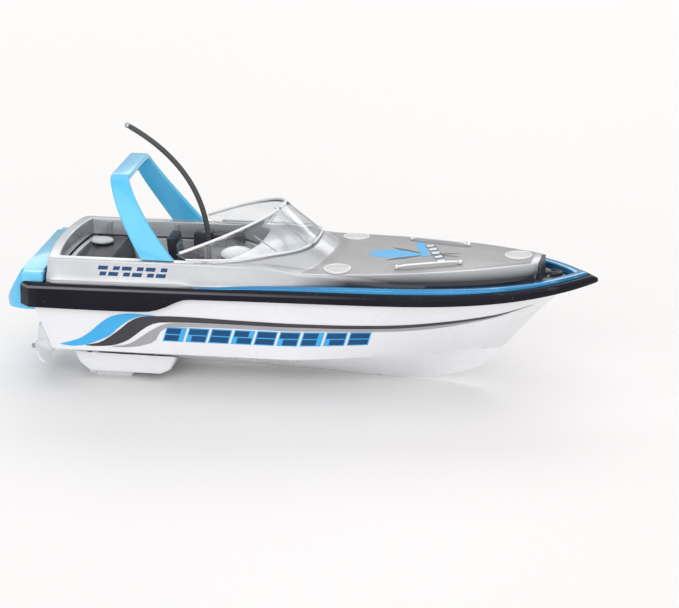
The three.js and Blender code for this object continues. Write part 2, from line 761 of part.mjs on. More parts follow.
// A round vent: a raised ring with three louvre bars and a peg below.
function vent(place) {
  const r = VENT_DIAMETER / 2;
  const h = VENT_HEIGHT;
  const tilt = deckHeight(place.x, place.y * 0.9) - deckHeight(place.x, place.y);
  const low = GAP + Math.abs(tilt) * 0.6;
  let shape = turned(
    [
      [0, -1.2],
      [0.9, -1.2],
      [0.9, low],
      [r, low],
      [r, h],
      [r - 0.3, h + 0.25],
      [r - 0.8, h + 0.2],
      [r - 0.9, h - 0.15],
      [0, h - 0.15],
    ],
    20,
  );
  for (const y of [-1.1, 0, 1.1]) {
    shape = shape.add(box(-1.6, 1.6, y - 0.25, y + 0.25, h - 0.3, h + 0.15));
  }
  return shape.translate([place.x, place.y, place.z]);
}

// A handrail: a straight rod on two ball-ended feet.
function handrail(side) {
  const foot = (end) => {
    const x = BOW - end.fromBow;
    const y = side * end.offset;
    return new THREE.Vector3(x, y, deckHeight(x, y));
  };
  const aft = foot(HANDRAIL_AFT);
  const fore = foot(HANDRAIL_FORE);
  const lift = HANDRAIL_LIFT - RAIL_ROD_DIAMETER / 2;
  const bar = rod(
    [
      [aft.x, aft.y, aft.z + lift],
      [fore.x, fore.y, fore.z + lift],
    ],
    RAIL_ROD_DIAMETER,
    8,
    1,
  );
  return [aft, fore].reduce((shape, p) => {
    const ball = new THREE.SphereGeometry(RAIL_ROD_DIAMETER * 0.85, 8, 6);
    ball.translate(p.x, p.y, p.z + lift);
    const low = p.z - PANEL_THICKNESS + GAP;
    return shape.add(solid(ball)).add(post(p.x, p.y, low, p.z + lift, RAIL_ROD_DIAMETER / 2, 6));
  }, bar);
}

// The anchor lies flat in the bow well: shank, stock ring, crown arc and two flukes.
function bowAnchor() {
  const low = WELL_FLOOR_HEIGHT + GAP;
  const high = low + 0.8;
  const aft = BOW - FOREDECK_FRONT_INSET + 0.4;
  const shank = box(aft, aft + 4.6, -0.3, 0.3, low, high);
  const stock = box(aft + 0.8, aft + 1.4, -1, 1, low, high);
  const arc = steps(-1, 1, 10).map((t) => [aft + 4.7 - 2.1 * t * t, 2 * t]);
  const outline = [
    ...arc.map(([x, y]) => new THREE.Vector2(x, y)),
    ...arc.reverse().map(([x, y]) => new THREE.Vector2(x - 0.65, y * 0.84)),
  ];
  return shank.add(stock).add(prism(outline, low, high));
}

// ---------------------------------------------------------------- windshield
// A point on the windshield's base line; angle runs from -90 to 90 degrees, bow at 0.
function shieldBase(angle, inset) {
  const power = 2 / SHIELD_BASE_POWER;
  const c = Math.max(Math.cos(angle), 0) ** power;
  const s = Math.abs(Math.sin(angle)) ** power * Math.sign(angle);
  const x = SHIELD_AFT + (SHIELD_BASE_LENGTH - inset) * c;
  const y = (SHIELD_HALF_WIDTH - inset) * s;
  return new THREE.Vector3(x, y, deckHeight(x, y) + GAP + 0.1);
}

// A point on its top edge.
function shieldTop(angle, inset) {
  const c = Math.max(Math.cos(angle), 0);
  const x = SHIELD_AFT + (SHIELD_TOP_LENGTH - inset) * c;
  const y = (SHIELD_HALF_WIDTH - inset * 0.7) * Math.sin(angle);
  const tail = RIM_HEIGHT + GAP + SHIELD_TAIL_HEIGHT;
  return new THREE.Vector3(x, y, tail + (SHIELD_TOP_HEIGHT - tail) * c);
}

function windshield() {
  const limit = THREE.MathUtils.degToRad(88);
  const rings = steps(-limit, limit, 24).map((angle) => [
    shieldBase(angle, 0),
    shieldBase(angle, 0).lerp(shieldTop(angle, 0), 0.5),
    shieldTop(angle, 0),
    shieldTop(angle, SHIELD_THICKNESS),
    shieldBase(angle, SHIELD_THICKNESS).lerp(shieldTop(angle, SHIELD_THICKNESS), 0.5),
    shieldBase(angle, SHIELD_THICKNESS),
  ]);
  return loft(rings);
}

// ---------------------------------------------------------------- radar arch
// The arch's middle line from one foot over the top to the other, with the leg's fore and aft edges.
function archStations() {
  const foot = RIM_HEIGHT + GAP;
  const rise = ARCH_TOP_HEIGHT - ARCH_THICKNESS / 2 - foot;
  const footHalf = RIM_HALF_WIDTH - RIM_WIDTH / 2;
  const run = footHalf - ARCH_TOP_HALF_WIDTH;
  const edges = (h) => {
    const aft = ARCH_FOOT_AFT - ARCH_RAKE * (1 - (1 - h) ** 1.35);
    return [aft, aft + ARCH_TOP_LENGTH + (ARCH_FOOT_LENGTH - ARCH_TOP_LENGTH) * (1 - h)];
  };
  const leanAt = (h) => (ARCH_BOW * run * h ** (ARCH_BOW - 1)) / rise;
  const turn = Math.atan(leanAt(1));
  const legTop = 1 - (ARCH_CORNER * (1 - Math.sin(turn))) / rise;
  const half = steps(0, legTop, 9).map((h) => ({
    y: footHalf - run * h ** ARCH_BOW,
    z: foot + rise * h,
    normal: new THREE.Vector2(1, leanAt(h)).normalize(),
    edges: edges(h),
  }));
  const last = half[half.length - 1];
  for (const a of steps(turn, Math.PI / 2, 4).slice(1)) {
    const z = last.z + ARCH_CORNER * (Math.sin(a) - Math.sin(turn));
    half.push({
      y: last.y - ARCH_CORNER * (Math.cos(turn) - Math.cos(a)),
      z,
      normal: new THREE.Vector2(Math.cos(a), Math.sin(a)),
      edges: edges(Math.min((z - foot) / rise, 1)),
    });
  }
  const other = half
    .slice()
    .reverse()
    .map((s) => ({ ...s, y: -s.y, normal: new THREE.Vector2(-s.normal.x, s.normal.y) }));
  return [...half, ...other];
}

function radarArch() {
  const rings = archStations().map(({ y, z, normal, edges }) => {
    const out = (side) => [y + (normal.x * side * ARCH_THICKNESS) / 2, z + (normal.y * side * ARCH_THICKNESS) / 2];
    const corners = [
      [edges[0], out(-1)],
      [edges[0], out(1)],
      [edges[1], out(1)],
      [edges[1], out(-1)],
    ];
    return corners.map(([x, [py, pz]]) => new THREE.Vector3(x, py, pz));
  });
  const floor = box(STERN, BOW, -HALF_BEAM, HALF_BEAM, 0, RIM_HEIGHT + GAP);
  return loft(rings).subtract(floor);
}

// ---------------------------------------------------------------- swim platform
// The platform's side profile as [x, z], pushed out by `grow`.
function platformProfile(grow) {
  const wall = STERN + COAMING_AFT_INSET - COAMING_CROWN - GAP;
  const ledge = FOOT_HEIGHT + GAP - grow;
  const step = sheerHeight(STERN);
  const behind = (z) => transomX(z) - GAP * 1.2 + grow;
  return [
    [STERN - grow, PLATFORM_BOTTOM + 0.9],
    [STERN + 0.9, PLATFORM_BOTTOM - grow],
    [behind(PLATFORM_BOTTOM), PLATFORM_BOTTOM - grow],
    [behind(step), step],
    [behind(step), ledge],
    [wall + grow, ledge],
    [wall + grow, PLATFORM_TOP + grow],
    [STERN + PLATFORM_SLOPE_LENGTH - grow, PLATFORM_TOP + grow],
    [STERN + 0.15 - grow, PLATFORM_BOTTOM + 1.9 + grow],
  ].map(([x, z]) => new THREE.Vector2(x, z));
}

function platformForm(grow) {
  const half = PLATFORM_HALF_WIDTH + grow;
  const geometry = new THREE.ExtrudeGeometry(new THREE.Shape(platformProfile(grow)), {
    depth: 2 * half,
    bevelEnabled: false,
  });
  geometry.rotateX(Math.PI / 2);
  geometry.translate(0, half, 0);
  return solid(geometry);
}

function platformClearance() {
  return platformForm(GAP);
}

function swimPlatform() {
  const r = PLATFORM_CORNER;
  const half = PLATFORM_HALF_WIDTH;
  const corner = (side) =>
    steps(0, Math.PI / 2, 6).map((a) => {
      const x = STERN + r - r * Math.sin(side > 0 ? a : Math.PI / 2 - a);
      const y = half - r + r * Math.cos(side > 0 ? a : Math.PI / 2 - a);
      return new THREE.Vector2(x, side * y);
    });
  const outline = [new THREE.Vector2(0, half), ...corner(1), ...corner(-1), new THREE.Vector2(0, -half)];
  return platformForm(0).intersect(prism(outline, 0, 60));
}

// ---------------------------------------------------------------- cockpit
function cockpitTub() {
  const floor = TUB_FLOOR_HEIGHT - TUB_WALL;
  const outer = prism(cockpitOutline(GAP), floor, TUB_RIM_HEIGHT);
  const inner = prism(cockpitOutline(GAP + TUB_WALL), TUB_FLOOR_HEIGHT, 60);
  const base = post(aerialX(), 0, 0, 40, AERIAL_DIAMETER / 2 + 2 * GAP, 16);
  const fit = hullInner(GAP);
  return outer.subtract(inner).intersect(fit.add(box(STERN, BOW, -HALF_BEAM, HALF_BEAM, 22, 40))).subtract(base);
}

const aerialX = () => STERN + AERIAL_FROM_STERN;
const benchAft = () => STERN + COAMING_AFT_INSET + RIM_WIDTH + TUB_WALL + 2 * GAP;

// The aft bench: a hollow step with a sloping front and a corner wedge.
function aftBench() {
  const aft = benchAft();
  const half = RIM_HALF_WIDTH - RIM_WIDTH - TUB_WALL - 2 * GAP;
  const front = aft + BENCH_LENGTH;
  const low = TUB_FLOOR_HEIGHT + GAP;
  const profile = [
    [aft, low],
    [front + 1.4, low],
    [front, BENCH_HEIGHT - 0.6],
    [front - 0.6, BENCH_HEIGHT],
    [aft, BENCH_HEIGHT],
  ].map(([x, z]) => new THREE.Vector2(x, z));
  const geometry = new THREE.ExtrudeGeometry(new THREE.Shape(profile), { depth: 2 * half, bevelEnabled: false });
  geometry.rotateX(Math.PI / 2);
  geometry.translate(0, half, 0);
  const hollow = box(aft - 1, front - 0.9, -half + 0.8, half - 0.8, low - 1, BENCH_HEIGHT - 0.9);
  const socket = post(plugX(), PLUG_OFFSET, 20, 40, PLUG_STEM / 2 + 2 * GAP, 20);
  const knob = SWITCH_KNOB[0] + SWITCH_TRAVEL + 2 * GAP;
  const slot = box(
    switchX() - knob / 2,
    switchX() + knob / 2,
    SWITCH_OFFSET - SWITCH_KNOB[1] / 2 - GAP,
    SWITCH_OFFSET + SWITCH_KNOB[1] / 2 + GAP,
    20,
    40,
  );
  return solid(geometry).subtract(hollow).subtract(socket).subtract(slot);
}

const plugX = () => STERN + PLUG_FROM_STERN;
const switchX = () => benchAft() + BENCH_LENGTH / 2;

// The round plug that closes the charging socket: a domed disc with a stem.
function chargePlug() {
  const low = BENCH_HEIGHT + GAP;
  const r = PLUG_DIAMETER / 2;
  return turned(
    [
      [0, low - 3.2],
      [PLUG_STEM / 2, low - 3.2],
      [PLUG_STEM / 2, low],
      [r, low],
      [r, low + PLUG_THICKNESS - 0.3],
      [r - 0.4, low + PLUG_THICKNESS],
      [0, low + PLUG_THICKNESS + 0.15],
    ],
    20,
  ).translate([plugX(), PLUG_OFFSET, 0]);
}

function chargeSocket() {
  const top = BENCH_HEIGHT - 0.9 - GAP;
  const body = post(plugX(), PLUG_OFFSET, top - SOCKET_DEPTH, top, SOCKET_DIAMETER / 2, 20);
  return body.subtract(post(plugX(), PLUG_OFFSET, top - 3.1, top + 1, PLUG_STEM / 2 + GAP, 20));
}

function switchBody() {
  const [length, width, height] = SWITCH_BODY;
  const top = BENCH_HEIGHT - 0.9 - GAP;
  const x = switchX();
  const y = SWITCH_OFFSET;
  const body = box(x - length / 2, x + length / 2, y - width / 2, y + width / 2, top - height, top);
  const knob = SWITCH_KNOB[0] + SWITCH_TRAVEL + 2 * GAP;
  const half = SWITCH_KNOB[1] / 2 + GAP;
  return body.subtract(box(x - knob / 2, x + knob / 2, y - half, y + half, top - 1.4, top + 1));
}

// The slider rests at the aft end of its slot and moves forward.
function switchSlider() {
  const top = BENCH_HEIGHT - 0.9 - GAP;
  const x = switchX() - SWITCH_TRAVEL / 2;
  const [length, width] = SWITCH_KNOB;
  return softBox(
    x - length / 2,
    x + length / 2,
    SWITCH_OFFSET - width / 2,
    SWITCH_OFFSET + width / 2,
    top - 1.1,
    BENCH_HEIGHT + 0.9,
    0.15,
  );
}

// A helm seat: a cushion with a raked back.
function helmSeat(side) {
  const x = STERN + SEAT_FROM_STERN;
  const y = side * SEAT_OFFSET;
  const low = TUB_FLOOR_HEIGHT + GAP;
  const cushion = softBox(
    x,
    x + SEAT_LENGTH,
    y - SEAT_WIDTH / 2,
    y + SEAT_WIDTH / 2,
    low,
    low + SEAT_BASE_HEIGHT,
    0.4,
  );
  const profile = [
    [x + 0.4, low + 0.5],
    [x + 2.4, low + 0.5],
    [x + 1.2, low + SEAT_BACK_HEIGHT],
    [x - 0.6, low + SEAT_BACK_HEIGHT],
  ].map(([px, pz]) => new THREE.Vector2(px, pz));
  const back = new THREE.ExtrudeGeometry(new THREE.Shape(profile), { depth: SEAT_WIDTH - 0.8, bevelEnabled: false });
  back.rotateX(Math.PI / 2);
  back.translate(0, y + SEAT_WIDTH / 2 - 0.4, 0);
  return cushion.add(solid(back));
}

function helmConsole() {
  const x = STERN + CONSOLE_FROM_STERN;
  const half = CONSOLE_WIDTH / 2;
  return softBox(x, x + CONSOLE_LENGTH, -half, half, TUB_FLOOR_HEIGHT + GAP, CONSOLE_HEIGHT, 0.5);
}

function consoleDome() {
  const low = CONSOLE_HEIGHT + GAP;
  const arc = steps(0, Math.PI / 2, 5).map((a) => [(DOME_DIAMETER / 2) * Math.cos(a), low + DOME_HEIGHT * Math.sin(a)]);
  const x = STERN + CONSOLE_FROM_STERN + CONSOLE_LENGTH / 2;
  return turned([[0, low], ...arc], 20).translate([x, 0, 0]);
}

// ---------------------------------------------------------------- aerial
function aerialPoints() {
  const x = aerialX();
  const low = TUB_FLOOR_HEIGHT - TUB_WALL - 1;
  const rise = AERIAL_TIP_HEIGHT - low;
  return steps(0, 1, 7).map((t) => {
    const lean = Math.max(t - 0.2, 0) / 0.8;
    return [x - AERIAL_SWEEP * lean ** 2, 0, low + rise * (t + 0.35 * t * (1 - t))];
  });
}

function aerialWhip() {
  return rod(aerialPoints(), AERIAL_DIAMETER, 8, 18);
}

function aerialTip() {
  const points = aerialPoints();
  const end = new THREE.Vector3(...points[points.length - 1]);
  const curve = new THREE.CatmullRomCurve3(points.map((p) => new THREE.Vector3(...p)));
  const direction = curve.getTangent(1);
  const start = end.clone().addScaledVector(direction, GAP);
  const finish = end.clone().addScaledVector(direction, GAP + 0.8);
  return rod([start.toArray(), finish.toArray()], AERIAL_DIAMETER * 1.15, 8, 1);
}

// The grommet that holds the aerial where it passes the cockpit floor.
function aerialGrommet() {
  const low = TUB_FLOOR_HEIGHT + GAP;
  const bore = AERIAL_DIAMETER / 2 + GAP;
  const profile = [
    [bore, low],
    [2, low],
    [1.7, low + 1],
    [bore + 0.35, low + 2.4],
    [bore, low + 2.4],
    [bore, low],
  ];
  return turned(profile, 14).translate([aerialX(), 0, 0]);
}

// ---------------------------------------------------------------- drive
// Sets a solid that was made along +X from the propeller's centre onto a sloping shaft line.
function onShaft(side, shape) {
  const degrees = -THREE.MathUtils.radToDeg(SHAFT_SLOPE);
  return shape
    .rotate([0, degrees, 0])
    .translate([STERN + PROPELLER_FROM_STERN, side * SHAFT_OFFSET, PROPELLER_HEIGHT]);
}

// A cylinder along +X.
function bar(x, length, radius, sides = 14) {
  const geometry = new THREE.CylinderGeometry(radius, radius, length, sides);
  geometry.rotateZ(-Math.PI / 2);
  geometry.translate(x + length / 2, 0, 0);
  return solid(geometry);
}

const tubeBore = (x, length, radius) => bar(x, length, radius, 14);

function propShaft() {
  return bar(-HUB_LENGTH / 2 - 0.9, SHAFT_LENGTH, SHAFT_DIAMETER / 2, 12);
}

function sternTube() {
  const inner = SHAFT_DIAMETER / 2 + GAP;
  return bar(TUBE_START, TUBE_LENGTH, inner + TUBE_WALL, 14).subtract(
    tubeBore(TUBE_START - 1, TUBE_LENGTH + 2, inner),
  );
}

function coupling() {
  const inner = SHAFT_DIAMETER / 2 + GAP;
  return bar(COUPLING_START, COUPLING_LENGTH, COUPLING_DIAMETER / 2, 14).subtract(
    tubeBore(COUPLING_START - 1, COUPLING_LENGTH + 2, inner),
  );
}

// A three-bladed propeller with helical blades on a tapered hub.
function propeller(hand) {
  const hubRadius = HUB_DIAMETER / 2;
  const half = HUB_LENGTH / 2;
  const hub = turned(
    [
      [0, -half],
      [hubRadius * 0.6, -half],
      [hubRadius, -half + 1],
      [hubRadius, half],
      [0, half],
    ],
    12,
  ).rotate([0, 90, 0]);
  const tip = PROPELLER_DIAMETER / 2;
  const blade = () => {
    const rings = steps(0, 1, 4).map((t) => {
      const radius = THREE.MathUtils.lerp(hubRadius * 0.6, tip, t);
      const chord = (3 + 1.6 * Math.sin(Math.PI * Math.min(t + 0.15, 1))) * (t > 0.9 ? 0.6 : 1);
      const pitch = hand * THREE.MathUtils.degToRad(THREE.MathUtils.lerp(58, 30, t));
      return [
        [-0.5, -0.25],
        [0, -0.4],
        [0.5, -0.25],
        [0.5, 0.25],
        [0, 0.4],
        [-0.5, 0.25],
      ].map(([c, w]) => {
        const along = c * chord;
        const thick = w * 1.1;
        const x = along * Math.sin(pitch) * 0.8 + thick * Math.cos(pitch);
        const turn = along * Math.cos(pitch) - thick * Math.sin(pitch);
        const angle = turn / Math.max(radius, hubRadius);
        return new THREE.Vector3(x, radius * Math.sin(angle), radius * Math.cos(angle));
      });
    });
    return loft(rings);
  };
  let shape = hub;
  for (const degrees of [0, 120, 240]) shape = shape.add(blade().rotate([degrees, 0, 0]));
  return shape.subtract(tubeBore(-half - 1, HUB_LENGTH + 2, SHAFT_DIAMETER / 2 + GAP));
}

// A motor can with a front boss, flattened on two sides.
function motorCan() {
  const r = MOTOR_DIAMETER / 2;
  const can = bar(MOTOR_START, MOTOR_LENGTH, r, 20);
  const boss = bar(MOTOR_START - 0.5, 1, 1.6, 16);
  const flats = box(MOTOR_START - 1, MOTOR_START + MOTOR_LENGTH + 1, -r, r, -r * 0.86, r * 0.86);
  const stub = tubeBore(MOTOR_START - 2, 4, SHAFT_DIAMETER / 2 + GAP);
  return can.intersect(flats).add(boss).subtract(stub);
}

// The motor's own output shaft, from inside the coupling into the can.
function motorStub() {
  const start = SHAFT_LENGTH - HUB_LENGTH / 2 - 0.9 + GAP;
  return bar(start, MOTOR_START + 1.6 - start, SHAFT_DIAMETER / 2, 12);
}

function motorEndcap() {
  const start = MOTOR_START + MOTOR_LENGTH + GAP;
  const r = MOTOR_DIAMETER / 2;
  const flats = box(start - 1, start + ENDCAP_LENGTH + 1, -r, r, -r * 0.86, r * 0.86);
  const cap = bar(start, ENDCAP_LENGTH, r - 0.1, 20).intersect(flats);
  const tabs = [-1, 1].map((s) => box(start, start + ENDCAP_LENGTH + 1.2, s * 2 - 0.3, s * 2 + 0.3, 0.6, 1.1));
  return tabs.reduce((shape, tab) => shape.add(tab), cap);
}

// The saddle that holds both motors down on the hull bottom.
function motorBracket() {
  const mid = STERN + PROPELLER_FROM_STERN + (MOTOR_START + MOTOR_LENGTH * 0.5) * Math.cos(SHAFT_SLOPE);
  const height = PROPELLER_HEIGHT + (MOTOR_START + MOTOR_LENGTH * 0.5) * Math.sin(SHAFT_SLOPE);
  const r = MOTOR_DIAMETER / 2;
  let block = box(mid - 2.2, mid + 2.2, -SHAFT_OFFSET - r - 1.6, SHAFT_OFFSET + r + 1.6, 0, height + r + 1.4);
  block = block.intersect(hullInner(GAP));
  for (const side of [1, -1]) {
    block = block.subtract(onShaft(side, tubeBore(MOTOR_START - 8, MOTOR_LENGTH + 20, r + GAP)));
  }
  for (const [x, y] of podScrewPlaces()) block = block.subtract(post(x, y, 0, 14, 0.6 + GAP, 12));
  return block;
}

// ---------------------------------------------------------------- drive pod
const podAft = STERN + POD_AFT_FROM_STERN;
const skidAft = STERN + SKID_FROM_STERN;

function podScrewPlaces() {
  const places = [];
  for (const x of [podAft + POD_SCREW_INSET, podAft + POD_LENGTH - POD_SCREW_INSET - 1.6]) {
    for (const y of [POD_SCREW_OFFSET, -POD_SCREW_OFFSET]) places.push([x, y]);
  }
  return places;
}

function contactPlaces() {
  const x = podAft + POD_LENGTH - 5;
  return [CONTACT_OFFSET, -CONTACT_OFFSET].map((y) => [x, y]);
}

// The pod under the stern: tapered aft, rounded forward, open upward to the hull, with a skid below.
function drivePod() {
  const profile = [
    [podAft, 11],
    [podAft + 0.2, 6.2],
    [podAft + 1.6, 3.4],
    [podAft + 4, POD_BOTTOM],
    [podAft + POD_LENGTH - 3.4, POD_BOTTOM],
    [podAft + POD_LENGTH - 1.2, 2.6],
    [podAft + POD_LENGTH, 5],
    [podAft + POD_LENGTH, 11],
  ].map(([x, z]) => new THREE.Vector2(x, z));
  const bevel = 0.8;
  const side = new THREE.ExtrudeGeometry(new THREE.Shape(profile), {
    depth: 2 * (POD_HALF_WIDTH - bevel),
    bevelThickness: bevel,
    bevelSize: bevel,
    bevelOffset: -bevel,
    bevelSegments: 2,
  });
  side.rotateX(Math.PI / 2);
  side.translate(0, POD_HALF_WIDTH - bevel, 0);
  const hollow = box(
    podAft + 3.6,
    podAft + POD_LENGTH - 2.6,
    -POD_HOLLOW_HALF_WIDTH,
    POD_HOLLOW_HALF_WIDTH,
    POD_BOTTOM + POD_WALL,
    20,
  );
  const skidProfile = [
    [skidAft, POD_BOTTOM + 0.5],
    [skidAft, 0],
    [skidAft + SKID_LENGTH - 2, 0],
    [skidAft + SKID_LENGTH, POD_BOTTOM + 0.5],
  ].map(([x, z]) => new THREE.Vector2(x, z));
  const skid = new THREE.ExtrudeGeometry(new THREE.Shape(skidProfile), {
    depth: 2 * SKID_HALF_WIDTH,
    bevelEnabled: false,
  });
  skid.rotateX(Math.PI / 2);
  skid.translate(0, SKID_HALF_WIDTH, 0);
  let pod = solid(side).subtract(hollow).add(solid(skid));
  pod = pod.subtract(hullOuter().translate([0, 0, -GAP]));
  for (const [x, y] of podScrewPlaces()) {
    pod = pod.subtract(post(x, y, 0, 20, 0.6 + GAP, 16)).subtract(post(x, y, -1, 3.6, 1.2 + GAP, 20));
  }
  for (const [x, y] of contactPlaces()) pod = pod.subtract(post(x, y, 0, 4, 0.5 + GAP, 14));
  return pod;
}

// A pan-head screw driven up through the pod.
function podScrew([x, y]) {
  const low = 2.3;
  const head = turned(
    [
      [0, low],
      [0.9, low],
      [1.2, low + 0.35],
      [1.2, low + 1],
      [0.6, low + 1],
      [0.6, low + 4.2],
      [0.25, low + 4.7],
      [0, low + 4.7],
    ],
    12,
  );
  const slots = box(-0.75, 0.75, -0.13, 0.13, low - 1, low + 0.4).add(box(-0.13, 0.13, -0.75, 0.75, low - 1, low + 0.4));
  return head.subtract(slots).translate([x, y, 0]);
}

// A water-sensing contact: a domed stud through the pod's floor.
function waterContact([x, y]) {
  const low = POD_BOTTOM - GAP;
  return turned(
    [
      [0, low - 0.5],
      [0.7, low - 0.4],
      [1.1, low],
      [0.5, low],
      [0.5, low + 1.6],
      [0, low + 1.6],
    ],
    12,
  ).translate([x, y, 0]);
}

// ---------------------------------------------------------------- internals
const batteryAft = STERN + BATTERY_FROM_STERN;
const boardAft = STERN + BOARD_FROM_STERN;

function batteryPack() {
  const [length, width, height] = BATTERY;
  const low = BATTERY_BASE_HEIGHT;
  return softBox(batteryAft, batteryAft + length, -width / 2, width / 2, low, low + height, 0.7);
}

// A shaped block between the hull bottom and what it carries.
function cradle(x0, x1, half, top) {
  return box(x0, x1, -half, half, 0, top).intersect(hullInner(GAP));
}

const batteryCradle = () =>
  cradle(batteryAft + 2, batteryAft + BATTERY[0] - 2, BATTERY[1] / 2 - 0.5, BATTERY_BASE_HEIGHT - GAP);

function receiverBoard() {
  const [length, width, thickness] = BOARD;
  return box(boardAft, boardAft + length, -width / 2, width / 2, BOARD_HEIGHT, BOARD_HEIGHT + thickness);
}

function boardPost() {
  return cradle(boardAft + 3, boardAft + 9, 5, BOARD_HEIGHT - GAP);
}

const boardTop = BOARD_HEIGHT + BOARD[2] + GAP;

function chip() {
  return softBox(boardAft + 6, boardAft + 12, -2.2, 2.2, boardTop, boardTop + 1.3, 0.2);
}

function crystal() {
  return softBox(boardAft + 15, boardAft + 17, -4.5, 0.5, boardTop, boardTop + 3, 0.4);
}

function capacitor() {
  return post(boardAft + 16, 4, boardTop, boardTop + 4.6, 2, 24);
}

function lead(points) {
  return rod(points, LEAD_DIAMETER, 6, 10);
}

function motorLead(side) {
  const along = MOTOR_START + MOTOR_LENGTH + ENDCAP_LENGTH + 2.4;
  const x = STERN + PROPELLER_FROM_STERN + along * Math.cos(SHAFT_SLOPE);
  const z = PROPELLER_HEIGHT + along * Math.sin(SHAFT_SLOPE) + 1.6;
  const y = side * SHAFT_OFFSET;
  return lead([
    [x, y, z],
    [x + 6, y + side * 1.5, z + 2.4],
    [batteryAft + 2, side * 9, BOARD_HEIGHT - 0.6],
    [batteryAft + BATTERY[0] - 2, side * 8.4, BOARD_HEIGHT - 0.2],
    [boardAft - 1.2, side * 5.5, BOARD_HEIGHT + 0.5],
  ]);
}

function batteryLead() {
  const x = batteryAft + BATTERY[0];
  const z = BATTERY_BASE_HEIGHT + BATTERY[2] / 2;
  return lead([
    [x + LEAD_DIAMETER / 2 + GAP, 0, z],
    [x + LEAD_DIAMETER / 2 + GAP, 0, z + 2],
    [boardAft - 1.2, 0, BOARD_HEIGHT + 0.5],
  ]);
}

// ---------------------------------------------------------------- the assembly
const finishes = {
  hullWhite: { color: 0xf3f4f6, roughness: 0.28, metalness: 0 },
  deckSilver: { color: 0xb4b8be, roughness: 0.32, metalness: 0.6 },
  panelGrey: { color: 0x8d8f91, roughness: 0.6, metalness: 0.25 },
  railBlack: { color: 0x14151b, roughness: 0.16, metalness: 0 },
  trimBlue: { color: 0x1f8fd6, roughness: 0.18, metalness: 0.55 },
  archBlue: { color: 0x3fb6f2, roughness: 0.25, metalness: 0 },
  clear: { color: 0xeaf2f6, roughness: 0.05, metalness: 0 },
  chrome: { color: 0xd9dce0, roughness: 0.15, metalness: 0.9 },
  trayGrey: { color: 0x6f7174, roughness: 0.5, metalness: 0.2 },
  seatDark: { color: 0x24252a, roughness: 0.3, metalness: 0 },
  softWhite: { color: 0xf1f1ef, roughness: 0.45, metalness: 0 },
  capGrey: { color: 0xc9cbce, roughness: 0.45, metalness: 0 },
  rubber: { color: 0x1b1b1d, roughness: 0.7, metalness: 0 },
  steel: { color: 0xa9adb2, roughness: 0.3, metalness: 0.9 },
  brass: { color: 0xc9a24a, roughness: 0.3, metalness: 0.9 },
  boardGreen: { color: 0x1d6b3a, roughness: 0.5, metalness: 0 },
  packBlue: { color: 0x2b4fa0, roughness: 0.4, metalness: 0 },
  leadRed: { color: 0xb02a24, roughness: 0.5, metalness: 0 },
};

const boat = new THREE.Group();

function piece(name, shape, finish) {
  const mesh = new THREE.Mesh(geometryOf(shape), new THREE.MeshStandardMaterial(finishes[finish]));
  mesh.name = name;
  boat.add(mesh);
}

const SIDES = [
  ["port", 1],
  ["starboard", -1],
];

piece("lower_hull", lowerHull(), "hullWhite");
piece("drive_pod", drivePod(), "hullWhite");
piece("upper_deck", upperDeck(), "deckSilver");
piece("foredeck_panel", foredeckPanel(), "panelGrey");
piece("rub_rail", rubRail(), "railBlack");
piece("sheer_trim", trimForm(0), "trimBlue");
piece("swim_platform", swimPlatform(), "archBlue");
piece("radar_arch", radarArch(), "archBlue");
piece("windshield", windshield(), "clear");
piece("bow_tray", bowTray(), "trayGrey");
piece("bow_anchor", bowAnchor(), "chrome");
piece("cockpit_tub", cockpitTub(), "deckSilver");
piece("aft_bench", aftBench(), "seatDark");
piece("charge_plug", chargePlug(), "capGrey");
piece("charge_socket", chargeSocket(), "rubber");
piece("power_switch_body", switchBody(), "rubber");
piece("power_switch_slider", switchSlider(), "capGrey");
piece("helm_console", helmConsole(), "seatDark");
piece("console_dome", consoleDome(), "softWhite");
piece("aerial_whip", aerialWhip(), "rubber");
piece("aerial_tip", aerialTip(), "steel");
piece("aerial_grommet", aerialGrommet(), "rubber");
piece("motor_bracket", motorBracket(), "softWhite");
piece("battery_pack", batteryPack(), "packBlue");
piece("battery_cradle", batteryCradle(), "softWhite");
piece("receiver_board", receiverBoard(), "boardGreen");
piece("board_post", boardPost(), "softWhite");
piece("receiver_chip", chip(), "rubber");
piece("receiver_crystal", crystal(), "steel");
piece("receiver_capacitor", capacitor(), "packBlue");
piece("battery_lead", batteryLead(), "leadRed");

const ventNames = ["deck_vent_port", "deck_vent_starboard", "deck_vent_bow"];
ventPlaces().forEach((place, i) => piece(ventNames[i], vent(place), "chrome"));
podScrewPlaces().forEach((place, i) => piece(`pod_screw_${i + 1}`, podScrew(place), "steel"));

for (const [name, side] of SIDES) {
  piece(`handrail_${name}`, handrail(side), "chrome");
  piece(`helm_seat_${name}`, helmSeat(side), "seatDark");
  piece(`propeller_${name}`, onShaft(side, propeller(side)), "softWhite");
  piece(`prop_shaft_${name}`, onShaft(side, propShaft()), "steel");
  piece(`stern_tube_${name}`, onShaft(side, sternTube()), "brass");
  piece(`shaft_coupling_${name}`, onShaft(side, coupling()), "rubber");
  piece(`motor_stub_${name}`, onShaft(side, motorStub()), "steel");
  piece(`motor_can_${name}`, onShaft(side, motorCan()), "steel");
  piece(`motor_endcap_${name}`, onShaft(side, motorEndcap()), "softWhite");
  piece(`motor_lead_${name}`, motorLead(side), "leadRed");
  piece(`water_contact_${name}`, waterContact(contactPlaces()[side > 0 ? 0 : 1]), "brass");
}

export default boat;
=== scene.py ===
"""A palm-sized twin-screw radio-controlled runabout, finished around its CAD frame.

Sizes in the classes are millimetres in the row frame (+X to the bow, +Y to port, +Z up).
Points are turned into metres when a mesh is made.
"""

import logging
import math
from collections.abc import Callable, Sequence
from dataclasses import dataclass, field
from enum import Enum

import bmesh
import bpy
from mathutils import Matrix, Vector


